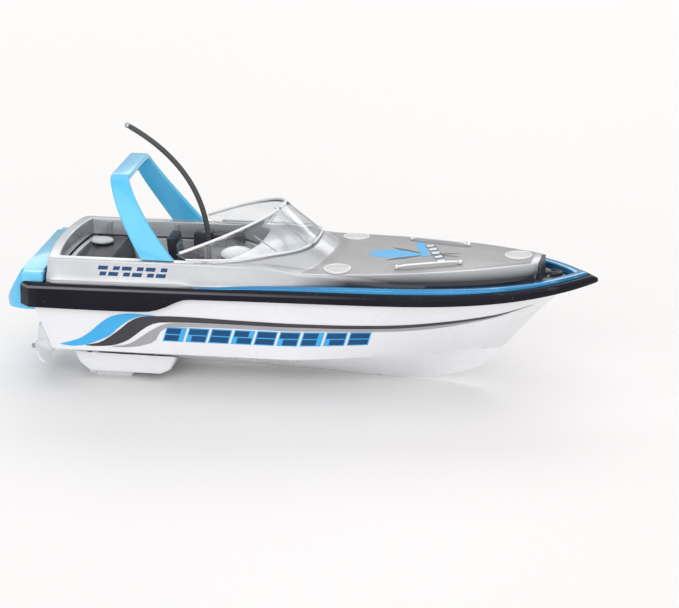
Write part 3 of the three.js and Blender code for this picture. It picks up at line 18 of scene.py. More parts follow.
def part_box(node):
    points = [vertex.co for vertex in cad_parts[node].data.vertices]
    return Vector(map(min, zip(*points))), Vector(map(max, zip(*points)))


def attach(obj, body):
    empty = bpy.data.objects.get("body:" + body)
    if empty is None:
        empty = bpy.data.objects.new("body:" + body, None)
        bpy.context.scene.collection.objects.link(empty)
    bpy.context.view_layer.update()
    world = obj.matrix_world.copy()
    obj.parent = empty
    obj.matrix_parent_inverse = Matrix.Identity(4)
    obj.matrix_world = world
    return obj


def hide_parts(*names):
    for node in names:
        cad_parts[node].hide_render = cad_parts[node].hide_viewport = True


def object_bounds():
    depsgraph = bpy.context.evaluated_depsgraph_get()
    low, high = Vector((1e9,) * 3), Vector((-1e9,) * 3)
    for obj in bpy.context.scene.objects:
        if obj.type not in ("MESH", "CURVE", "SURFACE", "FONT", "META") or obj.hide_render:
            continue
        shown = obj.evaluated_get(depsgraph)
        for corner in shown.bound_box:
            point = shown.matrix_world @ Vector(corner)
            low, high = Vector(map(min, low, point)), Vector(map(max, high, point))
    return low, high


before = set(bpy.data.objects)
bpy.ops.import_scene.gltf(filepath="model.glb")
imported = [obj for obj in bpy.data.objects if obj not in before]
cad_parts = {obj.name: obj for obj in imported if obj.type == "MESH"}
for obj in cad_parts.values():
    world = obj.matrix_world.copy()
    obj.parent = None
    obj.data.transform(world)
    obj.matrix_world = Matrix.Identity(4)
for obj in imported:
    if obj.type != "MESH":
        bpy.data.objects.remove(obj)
CAD_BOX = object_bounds()
MM = 0.001
LOG = logging.getLogger("runabout")
SIDES = (("port", 1), ("starboard", -1))
CLOUD_SCALE = 70.0
RIPPLE_SCALE = 160.0
FLAKE_SCALE = 5200.0
DUST_SCALE = 2600.0
DUST_COLOUR = (0.75, 0.76, 0.78)
MERGE_DISTANCE = 2e-6

Point = tuple[float, float, float]
Flat = tuple[float, float]
Patch = Callable[[float, float], Flat]
Curve = Callable[[float], float]
Socket = bpy.types.NodeSocket
Piece = bpy.types.Object


# ---------------------------------------------------------------- small maths
def clamp(value: float, low: float, high: float) -> float:
    """Keeps a value between two limits."""
    return max(low, min(high, value))


def lerp(a: float, b: float, t: float) -> float:
    """The value a share t of the way from a to b."""
    return a + (b - a) * t


def smooth(value: float, start: float, end: float) -> float:
    """0 before start, 1 after end, and a soft step between them."""
    t = clamp((value - start) / (end - start), 0.0, 1.0)
    return t * t * (3 - 2 * t)


def steps(a: float, b: float, count: int) -> list[float]:
    """Evenly spaced numbers from a to b, both ends included."""
    return [a + (b - a) * i / count for i in range(count + 1)]


def through(points: Sequence[Flat]) -> Curve:
    """A smooth curve through a few points.

    Args:
        points: The (x, value) points, in rising x.

    Returns:
        A function of x that is level beyond both ends.
    """
    last = len(points) - 1

    def slope(i: int) -> float:
        """The curve's slope at a point."""
        a, b = points[max(i - 1, 0)], points[min(i + 1, last)]
        return (b[1] - a[1]) / (b[0] - a[0])

    def value(x: float) -> float:
        """Reads the curve.

        Args:
            x: A place along it.

        Returns:
            The value there.
        """
        if x <= points[0][0]:
            return points[0][1]
        if x >= points[last][0]:
            return points[last][1]
        i = 0
        while x > points[i + 1][0]:
            i += 1
        span = points[i + 1][0] - points[i][0]
        t = (x - points[i][0]) / span
        rise = points[i + 1][1] - points[i][1]
        start, end = slope(i) * span, slope(i + 1) * span
        return points[i][1] + t * (start + t * (3 * rise - 2 * start - end + t * (start + end - 2 * rise)))

    return value


def rounded(points: Sequence[Flat], radii: Sequence[float], closed: bool = False, arc: int = 3) -> list[Flat]:
    """Rounds the corners of a flat outline.

    Args:
        points: The outline's corners.
        radii: How far each rounding reaches along its sides; 0 keeps the corner.
        closed: Whether the last corner joins the first.
        arc: Number of pieces in each rounding.

    Returns:
        The outline with a short curve in place of each rounded corner.
    """
    out: list[Flat] = []
    count = len(points)
    for i, corner in enumerate(points):
        if radii[i] <= 0 or (not closed and i in (0, count - 1)):
            out.append(corner)
            continue
        here = Vector(corner)
        before = Vector(points[i - 1]) - here
        after = Vector(points[(i + 1) % count]) - here
        reach = min(radii[i], before.length * 0.49, after.length * 0.49)
        a = here + before.normalized() * reach
        b = here + after.normalized() * reach
        for t in steps(0, 1, arc):
            spot = a * (1 - t) ** 2 + here * 2 * t * (1 - t) + b * t * t
            out.append((spot.x, spot.y))
    return out


# ---------------------------------------------------------------- meshes
class Skin:
    """Collects points and faces in millimetres and makes a mesh object of them."""

    def __init__(self) -> None:
        """Starts with nothing."""
        self.points: list[Point] = []
        self.faces: list[tuple[int, ...]] = []

    def ring(self, points: Sequence[Point]) -> list[int]:
        """Adds a row of points and returns their numbers.

        Args:
            points: The row's points, in millimetres.

        Returns:
            The points' numbers.
        """
        first = len(self.points)
        self.points.extend(tuple(p) for p in points)
        return list(range(first, first + len(points)))

    def join(self, a: Sequence[int], b: Sequence[int], closed: bool = True) -> None:
        """Fills the band between two rows of the same length.

        Args:
            a: One row's point numbers.
            b: The other row's.
            closed: Whether the rows are rings.
        """
        count = len(a)
        for i in range(count if closed else count - 1):
            j = (i + 1) % count
            self.faces.append((a[i], a[j], b[j], b[i]))

    def cap(self, row: Sequence[int]) -> None:
        """Closes a row with one face."""
        self.faces.append(tuple(row))

    def loft(self, rings: Sequence[Sequence[Point]], looped: bool = False) -> None:
        """Joins closed rings into a solid, capped at both ends or looped round.

        Args:
            rings: The sections, with the same number of points in each.
            looped: Whether the last joins the first.
        """
        rows = [self.ring(r) for r in rings]
        for a, b in zip(rows, rows[1:]):
            self.join(a, b)
        if looped:
            self.join(rows[-1], rows[0])
        else:
            self.cap(rows[0])
            self.cap(rows[-1])

    def slab(self, front: Sequence[Sequence[Point]], back: Sequence[Sequence[Point]]) -> None:
        """A thin closed body between two grids of points of the same size.

        Args:
            front: Rows of points on one face.
            back: Rows of points on the other.
        """
        rows_f = [self.ring(r) for r in front]
        rows_b = [self.ring(r) for r in back]
        for a, b in zip(rows_f, rows_f[1:]):
            self.join(a, b, closed=False)
        for a, b in zip(rows_b, rows_b[1:]):
            self.join(b, a, closed=False)
        self.join(rows_b[0], rows_f[0], closed=False)
        self.join(rows_f[-1], rows_b[-1], closed=False)
        for end in (0, -1):
            self.join([r[end] for r in rows_f], [r[end] for r in rows_b], closed=False)

    def turned(self, profile: Sequence[Flat], sides: int, place: Matrix | None = None) -> None:
        """A body turned about +Z.

        Args:
            profile: (radius, height) points that start and end on the axis.
            sides: Number of steps round.
            place: Where the body's own axes lie, in millimetres.
        """
        spot = place or Matrix.Identity(4)
        turn = steps(0, 2 * math.pi, sides)[:-1]
        rows = []
        for r, z in profile[1:-1]:
            circle = [spot @ Vector((r * math.cos(a), r * math.sin(a), z)) for a in turn]
            rows.append(self.ring([tuple(p) for p in circle]))
        for a, b in zip(rows, rows[1:]):
            self.join(a, b)
        for row, (_, z) in ((rows[0], profile[0]), (rows[-1], profile[-1])):
            tip = self.ring([tuple(spot @ Vector((0, 0, z)))])[0]
            for i, a in enumerate(row):
                self.faces.append((a, row[(i + 1) % sides], tip))

    def rod(self, path: Sequence[Vector], radius: float, sides: int = 12) -> None:
        """A round rod along a path, closed with domed ends.

        Args:
            path: Points of the middle line.
            radius: The rod's radius.
            sides: Number of sides.
        """
        rings = []
        side = Vector((0, 1, 0))
        for i, here in enumerate(path):
            way = (path[min(i + 1, len(path) - 1)] - path[max(i - 1, 0)]).normalized()
            base = side if abs(side.dot(way)) < 0.95 else Vector((1, 0, 0))
            u = base.cross(way).normalized()
            v = way.cross(u)
            turn = steps(0, 2 * math.pi, sides)[:-1]
            circle = [u * math.cos(a) + v * math.sin(a) for a in turn]
            if i == 0:
                rings.append([here - way * radius * 0.35 + c * radius * 0.6 for c in circle])
            rings.append([here + c * radius for c in circle])
            if i == len(path) - 1:
                rings.append([here + way * radius * 0.35 + c * radius * 0.6 for c in circle])
        self.loft([[tuple(p) for p in r] for r in rings])

    def build(self, name: str, sharp: float = 32.0) -> Piece:
        """Makes the mesh object.

        Args:
            name: The piece's name.
            sharp: Edges that bend by more degrees than this stay crisp.

        Returns:
            The new object, in metres, linked to the scene.
        """
        mesh = bpy.data.meshes.new(name)
        mesh.from_pydata([tuple(c * MM for c in p) for p in self.points], [], self.faces)
        piece = bpy.data.objects.new(name, mesh)
        bpy.context.scene.collection.objects.link(piece)
        tidy(piece, sharp)
        return piece


def tidy(piece: Piece, sharp: float) -> None:
    """Merges doubled points, turns faces outward and shades all but the crisp edges smoothly.

    Args:
        piece: The mesh object.
        sharp: Edges that bend by more degrees than this stay crisp.
    """
    shape = bmesh.new()
    shape.from_mesh(piece.data)
    bmesh.ops.remove_doubles(shape, verts=shape.verts, dist=MERGE_DISTANCE)
    bmesh.ops.dissolve_degenerate(shape, edges=shape.edges, dist=1e-6)
    bmesh.ops.recalc_face_normals(shape, faces=shape.faces)
    limit = math.radians(sharp)
    for face in shape.faces:
        face.smooth = True
    for edge in shape.edges:
        edge.smooth = len(edge.link_faces) == 2 and edge.calc_face_angle(0.0) < limit
    shape.to_mesh(piece.data)
    shape.free()


def settle(piece: Piece) -> None:
    """Applies a piece's modifiers to its mesh.

    Args:
        piece: The mesh object.
    """
    bpy.context.view_layer.update()
    ready = piece.evaluated_get(bpy.context.evaluated_depsgraph_get())
    done = bpy.data.meshes.new_from_object(ready)
    piece.modifiers.clear()
    piece.data = done


def moulded(node: str, edge: float, sharp: float = 30.0) -> Piece:
    """A finished copy of a CAD node with its edges eased.

    Args:
        node: The CAD node that the piece stands for.
        edge: Width of the eased edge, in millimetres.
        sharp: Edges that bend by more degrees than this are eased.

    Returns:
        The new piece.
    """
    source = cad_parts[node]
    piece = bpy.data.objects.new(f"{node}_finished", source.data.copy())
    piece.data.materials.clear()
    bpy.context.scene.collection.objects.link(piece)
    shape = bmesh.new()
    shape.from_mesh(piece.data)
    bmesh.ops.remove_doubles(shape, verts=shape.verts, dist=MERGE_DISTANCE)
    bmesh.ops.dissolve_limit(shape, angle_limit=math.radians(1.2), verts=shape.verts, edges=shape.edges)
    shape.to_mesh(piece.data)
    shape.free()
    if edge > 0:
        ease = piece.modifiers.new("ease", "BEVEL")
        ease.width = edge * MM
        ease.segments = 2
        ease.limit_method = "ANGLE"
        ease.angle_limit = math.radians(sharp)
        ease.use_clamp_overlap = True
        settle(piece)
    tidy(piece, 40.0)
    return piece


# ---------------------------------------------------------------- finishes
class Slot(Enum):
    """The record's material slots; each finish names the one that it stands for."""

    HULL = "hull_white"
    DECK = "deck_silver"
    PANEL = "panel_grey"
    RAIL = "rail_black"
    TRIM = "trim_blue"
    ARCH = "arch_blue"
    CLEAR = "clear"
    CHROME = "chrome"
    TRAY = "tray_grey"
    SEAT = "seat_dark"
    SOFT = "soft_white"
    CAP = "cap_grey"
    RUBBER = "rubber"
    STEEL = "steel"
    BRASS = "brass"
    BOARD = "board_green"
    PACK = "pack_blue"
    LEAD = "lead_red"


class Weave:
    """Adds shader nodes one by one to a new material."""

    def __init__(self, name: str) -> None:
        """Starts a material with one main shader."""
        self.material = bpy.data.materials.new(name)
        self.material.use_nodes = True
        self.tree = self.material.node_tree
        self.shader = self.tree.nodes["Principled BSDF"]
        self.place = self.node("ShaderNodeTexCoord").outputs["Object"]

    def node(self, kind: str, **values: object) -> bpy.types.Node:
        """Adds a node and sets its plain properties.

        Args:
            kind: The node's type.
            values: Its plain properties.

        Returns:
            The new node.
        """
        made = self.tree.nodes.new(kind)
        for key, value in values.items():
            setattr(made, key, value)
        return made

    def link(self, source: Socket, target: Socket) -> None:
        """Joins two sockets."""
        self.tree.links.new(source, target)

    def noise(self, scale: float, detail: float = 3.0, stretch: Point = (1, 1, 1)) -> Socket:
        """A noise pattern.

        Args:
            scale: Pattern repeats in each metre.
            detail: Layers of finer noise.
            stretch: Scale of each axis beside the others.

        Returns:
            The pattern's value, about 0.5 on average.
        """
        mapping = self.node("ShaderNodeMapping")
        mapping.inputs["Scale"].default_value = stretch
        self.link(self.place, mapping.inputs["Vector"])
        pattern = self.node("ShaderNodeTexNoise")
        pattern.inputs["Scale"].default_value = scale
        pattern.inputs["Detail"].default_value = detail
        self.link(mapping.outputs["Vector"], pattern.inputs["Vector"])
        return pattern.outputs["Fac"]

    def spread(self, value: Socket, low: float, high: float, a: float, b: float) -> Socket:
        """Maps low..high of a value onto a..b, held at both ends.

        Args:
            value: The value.
            low: Where its range starts.
            high: Where its range ends.
            a: What the start becomes.
            b: What the end becomes.

        Returns:
            The mapped value.
        """
        remap = self.node("ShaderNodeMapRange")
        for key, number in (("From Min", low), ("From Max", high), ("To Min", a), ("To Max", b)):
            remap.inputs[key].default_value = number
        self.link(value, remap.inputs["Value"])
        return remap.outputs["Result"]

    def mix(self, share: Socket, a: object, b: object) -> Socket:
        """Blends two colours, each a socket or a plain colour, by a share.

        Args:
            share: How much of b shows.
            a: The first colour.
            b: The second colour.

        Returns:
            The blend.
        """
        blend = self.node("ShaderNodeMix", data_type="RGBA")
        self.link(share, blend.inputs[0])
        for socket, value in ((blend.inputs[6], a), (blend.inputs[7], b)):
            if isinstance(value, Socket):
                self.link(value, socket)
            else:
                socket.default_value = (*value, 1.0)
        return blend.outputs[2]

    def bump(self, height: Socket, depth: float, under: Socket | None = None) -> Socket:
        """Surface relief of a depth in metres, over an earlier relief if given.

        Args:
            height: The pattern.
            depth: The depth of its relief.
            under: An earlier relief.

        Returns:
            The shading normal.
        """
        relief = self.node("ShaderNodeBump")
        relief.inputs["Strength"].default_value = 1.0
        relief.inputs["Distance"].default_value = depth
        self.link(height, relief.inputs["Height"])
        if under is not None:
            self.link(under, relief.inputs["Normal"])
        return relief.outputs["Normal"]

    def math(self, operation: str, a: object, b: object = 0.0) -> Socket:
        """Works out one value from two, each a socket or a number.

        Args:
            operation: The operation's name.
            a: The first value.
            b: The second value.

        Returns:
            The result.
        """
        made = self.node("ShaderNodeMath", operation=operation)
        for socket, value in zip(made.inputs, (a, b)):
            if isinstance(value, Socket):
                self.link(value, socket)
            else:
                socket.default_value = value
        return made.outputs[0]


@dataclass(frozen=True)
class PaintedLightBand:
    """A soft band of painted light along a curve of the boat's side: painted shade on the silver deck, a painted
    highlight on the black rail.

    The curve goes through three points of x and z. Sizes are millimetres.
    """

    curve: tuple[Flat, Flat, Flat]
    colour: Point
    full: float
    gone: float
    strength: float = 1.0
    start: float = -100.0
    ramp: float = 1.0

    def share(self, weave: Weave) -> Socket:
        """How much of the band shows at each point.

        Args:
            weave: The material's nodes, which this adds to.

        Returns:
            The band's share, from 0 to its strength.
        """
        (x0, z0), (x1, z1), (x2, z2) = self.curve
        rise = (z1 - z0) / (x1 - x0)
        turn = ((z2 - z1) / (x2 - x1) - rise) / (x2 - x0)
        split = weave.node("ShaderNodeSeparateXYZ")
        weave.link(weave.place, split.inputs[0])
        along = split.outputs["X"]
        slope = weave.math("MULTIPLY", weave.math("SUBTRACT", along, x1 * MM), turn / MM)
        slope = weave.math("ADD", slope, rise)
        line = weave.math("MULTIPLY", weave.math("SUBTRACT", along, x0 * MM), slope)
        away = weave.math("SUBTRACT", split.outputs["Z"], weave.math("ADD", line, z0 * MM))
        near = weave.spread(weave.math("ABSOLUTE", away), self.full * MM, self.gone * MM, self.strength, 0)
        begun = weave.spread(along, self.start * MM, (self.start + self.ramp) * MM, 0, 1)
        return weave.math("MULTIPLY", near, begun)


class Coating:
    """Something that a piece can be dressed in."""

    name: str
    slot: Slot

    def fill(self, weave: Weave) -> None:
        """Adds the coating's own nodes to its material."""
        raise NotImplementedError

    def material(self) -> bpy.types.Material:
        """The coating as a node material, made once.

        Returns:
            The material.
        """
        done = bpy.data.materials.get(self.name)
        if done is not None:
            return done
        weave = Weave(self.name)
        self.fill(weave)
        return weave.material

    def dress(self, piece: Piece, body: str = "hull") -> Piece:
        """Gives a piece this coating and its body.

        Args:
            piece: The piece, in place.
            body: The CAD body that it rides on.

        Returns:
            The same piece.
        """
        piece.data.materials.clear()
        piece.data.materials.append(self.material())
        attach(piece, body)
        LOG.info("%s: %d faces, %s, on %s", piece.name, len(piece.data.polygons), self.name, body)
        return piece


@dataclass(frozen=True)
class Finish(Coating):
    """A moulded, painted or plated surface.

    Colours are linear. Depths are metres, and scales are repeats in each metre.
    """

    name: str
    slot: Slot
    colour: Point
    shade: Point
    roughness: float
    metallic: float = 0.0
    coat: float = 0.0
    grain: float = 1800.0
    grain_depth: float = 4e-6
    ripple_depth: float = 3e-5
    wear: float = 0.25
    wear_colour: Point = (0.8, 0.82, 0.85)
    flake: float = 0.0
    brushed: bool = False
    glow: float = 0.0
    specks: float = 0.0
    sheen_level: float = 0.5
    # Painted light: an optional band mixed into the colour, painted shade on the deck and a painted highlight on
    # the rail.
    painted_light: PaintedLightBand | None = None

    def fill(self, weave: Weave) -> None:
        """Adds colour, roughness and relief.

        Args:
            weave: The material's nodes, which this adds to.
        """
        shader = weave.shader
        cloud = weave.noise(CLOUD_SCALE, 4.0)
        grain = weave.noise(self.grain, 2.0, (0.06, 1, 1) if self.brushed else (1, 1, 1))
        weave.link(self.painted(weave, cloud, grain), shader.inputs["Base Color"])
        rough = weave.spread(cloud, 0.3, 0.7, self.roughness * 0.82, min(self.roughness * 1.25, 1))
        weave.link(rough, shader.inputs["Roughness"])
        ripple = weave.bump(weave.noise(RIPPLE_SCALE, 1.0), self.ripple_depth)
        weave.link(weave.bump(grain, self.grain_depth, ripple), shader.inputs["Normal"])
        shader.inputs["Metallic"].default_value = self.metallic
        shader.inputs["Coat Weight"].default_value = self.coat
        shader.inputs["Coat Roughness"].default_value = 0.06
        shader.inputs["Specular IOR Level"].default_value = self.sheen_level
        if self.glow > 0:
            shader.inputs["Subsurface Weight"].default_value = self.glow
            shader.inputs["Subsurface Scale"].default_value = 0.002
            shader.inputs["Subsurface Radius"].default_value = (0.6, 0.9, 1.0)

    def painted(
        self, weave: Weave, cloud: Socket, grain: Socket
    ) -> Socket:
        """The finish's colour over the whole piece.

        Args:
            weave: The material's nodes, which this adds to.
            cloud: The slow change of shade.
            grain: The fine change of shade.

        Returns:
            The colour.
        """
        colour = weave.mix(weave.spread(cloud, 0.35, 0.65, 0, 1), self.colour, self.shade)
        colour = weave.mix(weave.spread(grain, 0.3, 0.7, 0, 0.35), colour, self.shade)
        if self.flake > 0:
            cell = weave.node("ShaderNodeTexVoronoi")
            cell.inputs["Scale"].default_value = FLAKE_SCALE
            weave.link(weave.place, cell.inputs["Vector"])
            glint = weave.spread(cell.outputs["Distance"], 0.0, 0.28, self.flake, 0)
            colour = weave.mix(glint, colour, self.wear_colour)
        edge = weave.node("ShaderNodeNewGeometry").outputs["Pointiness"]
        colour = weave.mix(weave.spread(edge, 0.53, 0.6, 0, self.wear), colour, self.wear_colour)
        if self.specks > 0:
            dust = weave.spread(weave.noise(DUST_SCALE, 1.0), 0.74, 0.8, 0, self.specks)
            colour = weave.mix(dust, colour, DUST_COLOUR)
        # Paints light into the colour: painted shade on the silver deck, a painted highlight on the black rail.
        if self.painted_light is not None:
            colour = weave.mix(self.painted_light.share(weave), colour, self.painted_light.colour)
        return colour


@dataclass(frozen=True)
class ClearPlastic(Coating):
    """Thin clear moulding with faint scuffs."""

    name: str = "clear_styrene"
    slot: Slot = Slot.CLEAR
    tint: Point = (0.97, 0.985, 1.0)
    scuffed: Point = (0.9, 0.93, 0.95)
    density: float = 1.49

    def fill(self, weave: Weave) -> None:
        """Adds the tint, the scuffs and the see-through body.

        Args:
            weave: The material's nodes, which this adds to.
        """
        shader = weave.shader
        scuff = weave.noise(420.0, 5.0, (0.3, 1, 1))
        tint = weave.mix(weave.spread(scuff, 0.4, 0.7, 0, 1), self.tint, self.scuffed)
        weave.link(tint, shader.inputs["Base Color"])
        weave.link(weave.spread(scuff, 0.45, 0.75, 0.015, 0.12), shader.inputs["Roughness"])
        weave.link(weave.bump(weave.noise(90.0, 2.0), 4e-5), shader.inputs["Normal"])
        shader.inputs["Transmission Weight"].default_value = 1.0
        shader.inputs["IOR"].default_value = self.density


def ink(name: str, slot: Slot, colour: Point, shade: Point, roughness: float = 0.32) -> Finish:
    """A thin printed ink, which shines less than the plastic under it.

    Args:
        name: The finish's name.
        slot: The record's slot.
        colour: Its colour.
        shade: The colour that it drifts to.
        roughness: Its roughness.

    Returns:
        The finish.
    """
    return Finish(name, slot, colour, shade, roughness, wear=0.0, ripple_depth=1e-5, sheen_level=0.25)


WHITE = Finish(
    "gloss_white_styrene", Slot.HULL, (0.86, 0.87, 0.89), (0.82, 0.83, 0.86), 0.26, coat=0.3, wear=0.1
)
SILVER = Finish(
    "silver_lacquer", Slot.DECK, (0.54, 0.55, 0.575), (0.48, 0.49, 0.515), 0.3, metallic=0.62, coat=0.3,
    flake=0.3,
    # Painted shade: a dark fade along the foot of the foredeck wall, where shade and the black rail's reflection
    # fall.
    painted_light=PaintedLightBand(
        ((0.25, 25.35), (16.25, 25.8), (64.25, 26.2)), (0.008, 0.01, 0.018), 0.5, 2.6, 0.97, start=0.0,
        ramp=12.0
    ),
)
SATIN = Finish(
    "grey_satin_lacquer", Slot.PANEL, (0.33, 0.33, 0.335), (0.3, 0.3, 0.305), 0.42, metallic=0.45, flake=0.22,
    grain_depth=9e-6, wear=0.12,
)
BLACK = Finish(
    "gloss_black_styrene", Slot.RAIL, (0.006, 0.006, 0.012), (0.01, 0.01, 0.018), 0.18,
    wear=0.25, wear_colour=(0.08, 0.08, 0.1), specks=0.22, sheen_level=0.14,
    # Painted highlight: a pale grey line just under the rail's top edge, where its chamfer catches the light.
    painted_light=PaintedLightBand(
        ((-64.25, 22.85), (0.0, 23.42), (64.25, 24.62)), (0.2, 0.2, 0.215), 0.14, 0.32, 0.85, start=20.0,
        ramp=-60.0
    ),
)
METAL_BLUE = Finish(
    "blue_metal_lacquer", Slot.TRIM, (0.025, 0.28, 0.57), (0.014, 0.2, 0.45), 0.17, metallic=0.7, coat=0.8,
    flake=0.15, wear=0.3, wear_colour=(0.25, 0.65, 0.95),
)
SKY = Finish(
    "sky_blue_styrene", Slot.ARCH, (0.115, 0.6, 0.94), (0.09, 0.55, 0.92), 0.24, coat=0.5, glow=0.25,
    wear=0.3, wear_colour=(0.3, 0.7, 0.98),
)
# The deck's silver for the well, less metallic and painted lighter to offset the shade inside the well: painted
# light.
WELL_SILVER_LIGHTENED = Finish(
    "well_silver_lightened", Slot.DECK, (0.76, 0.77, 0.79), (0.69, 0.7, 0.72), 0.38, metallic=0.2, flake=0.15
)
VENT_DISC = Finish("vent_disc_satin", Slot.CHROME, (0.42, 0.43, 0.44), (0.36, 0.37, 0.38), 0.3, metallic=0.4)
PLATED = Finish(
    "bright_plating", Slot.CHROME, (0.88, 0.89, 0.9), (0.82, 0.83, 0.85), 0.2, metallic=0.3, wear=0.1,
    ripple_depth=1e-5,
)
TRAY = Finish("dark_grey_styrene", Slot.TRAY, (0.1, 0.1, 0.11), (0.13, 0.13, 0.14), 0.4, grain_depth=8e-6)
DARK = Finish(
    "charcoal_styrene", Slot.SEAT, (0.022, 0.022, 0.03), (0.032, 0.032, 0.04), 0.36, wear=0.3,
    wear_colour=(0.14, 0.14, 0.17), sheen_level=0.14,
)
# Painted reflection: the blue of the arch, reflected on the port seat's back.
SEAT_ARCH_REFLECTION = Finish("painted_arch_reflection", Slot.SEAT, (0.07, 0.16, 0.25), (0.05, 0.12, 0.2), 0.2, coat=0.6)
MILK = Finish("milk_white_nylon", Slot.SOFT, (0.9, 0.91, 0.92), (0.84, 0.85, 0.87), 0.42, glow=0.2, wear=0.1)
CAP = Finish("pale_grey_nylon", Slot.CAP, (0.6, 0.61, 0.63), (0.52, 0.53, 0.55), 0.4)
RUBBER = Finish(
    "black_rubber", Slot.RUBBER, (0.045, 0.045, 0.048), (0.07, 0.07, 0.073), 0.5, grain=2600.0,
    grain_depth=1.2e-5,
    wear=0.2, wear_colour=(0.12, 0.12, 0.13),
)
STEEL = Finish(
    "drawn_steel", Slot.STEEL, (0.5, 0.51, 0.53), (0.4, 0.41, 0.43), 0.28, metallic=1.0, brushed=True
)
BRASS = Finish(
    "drawn_brass", Slot.BRASS, (0.65, 0.47, 0.18), (0.52, 0.36, 0.13), 0.26, metallic=1.0, brushed=True
)
BOARD = Finish("board_lacquer", Slot.BOARD, (0.02, 0.2, 0.07), (0.03, 0.27, 0.1), 0.35)
SLEEVE = Finish("shrink_sleeve", Slot.PACK, (0.04, 0.09, 0.4), (0.03, 0.07, 0.33), 0.3)
WIRE = Finish("red_wire_cover", Slot.LEAD, (0.45, 0.03, 0.02), (0.35, 0.02, 0.02), 0.45)
INK_BLUE = ink("sky_ink", Slot.ARCH, (0.07, 0.46, 0.86), (0.06, 0.42, 0.82), 0.3)
INK_NAVY = ink("navy_ink", Slot.RAIL, (0.008, 0.06, 0.17), (0.012, 0.08, 0.22))
INK_DARK = ink("charcoal_ink", Slot.RAIL, (0.05, 0.048, 0.058), (0.065, 0.062, 0.072))
INK_GREY = ink("pewter_ink", Slot.PANEL, (0.36, 0.36, 0.39), (0.4, 0.4, 0.43))
INK_WHITE = ink("white_ink", Slot.HULL, (0.85, 0.86, 0.88), (0.8, 0.81, 0.84))
GLASS = ClearPlastic()


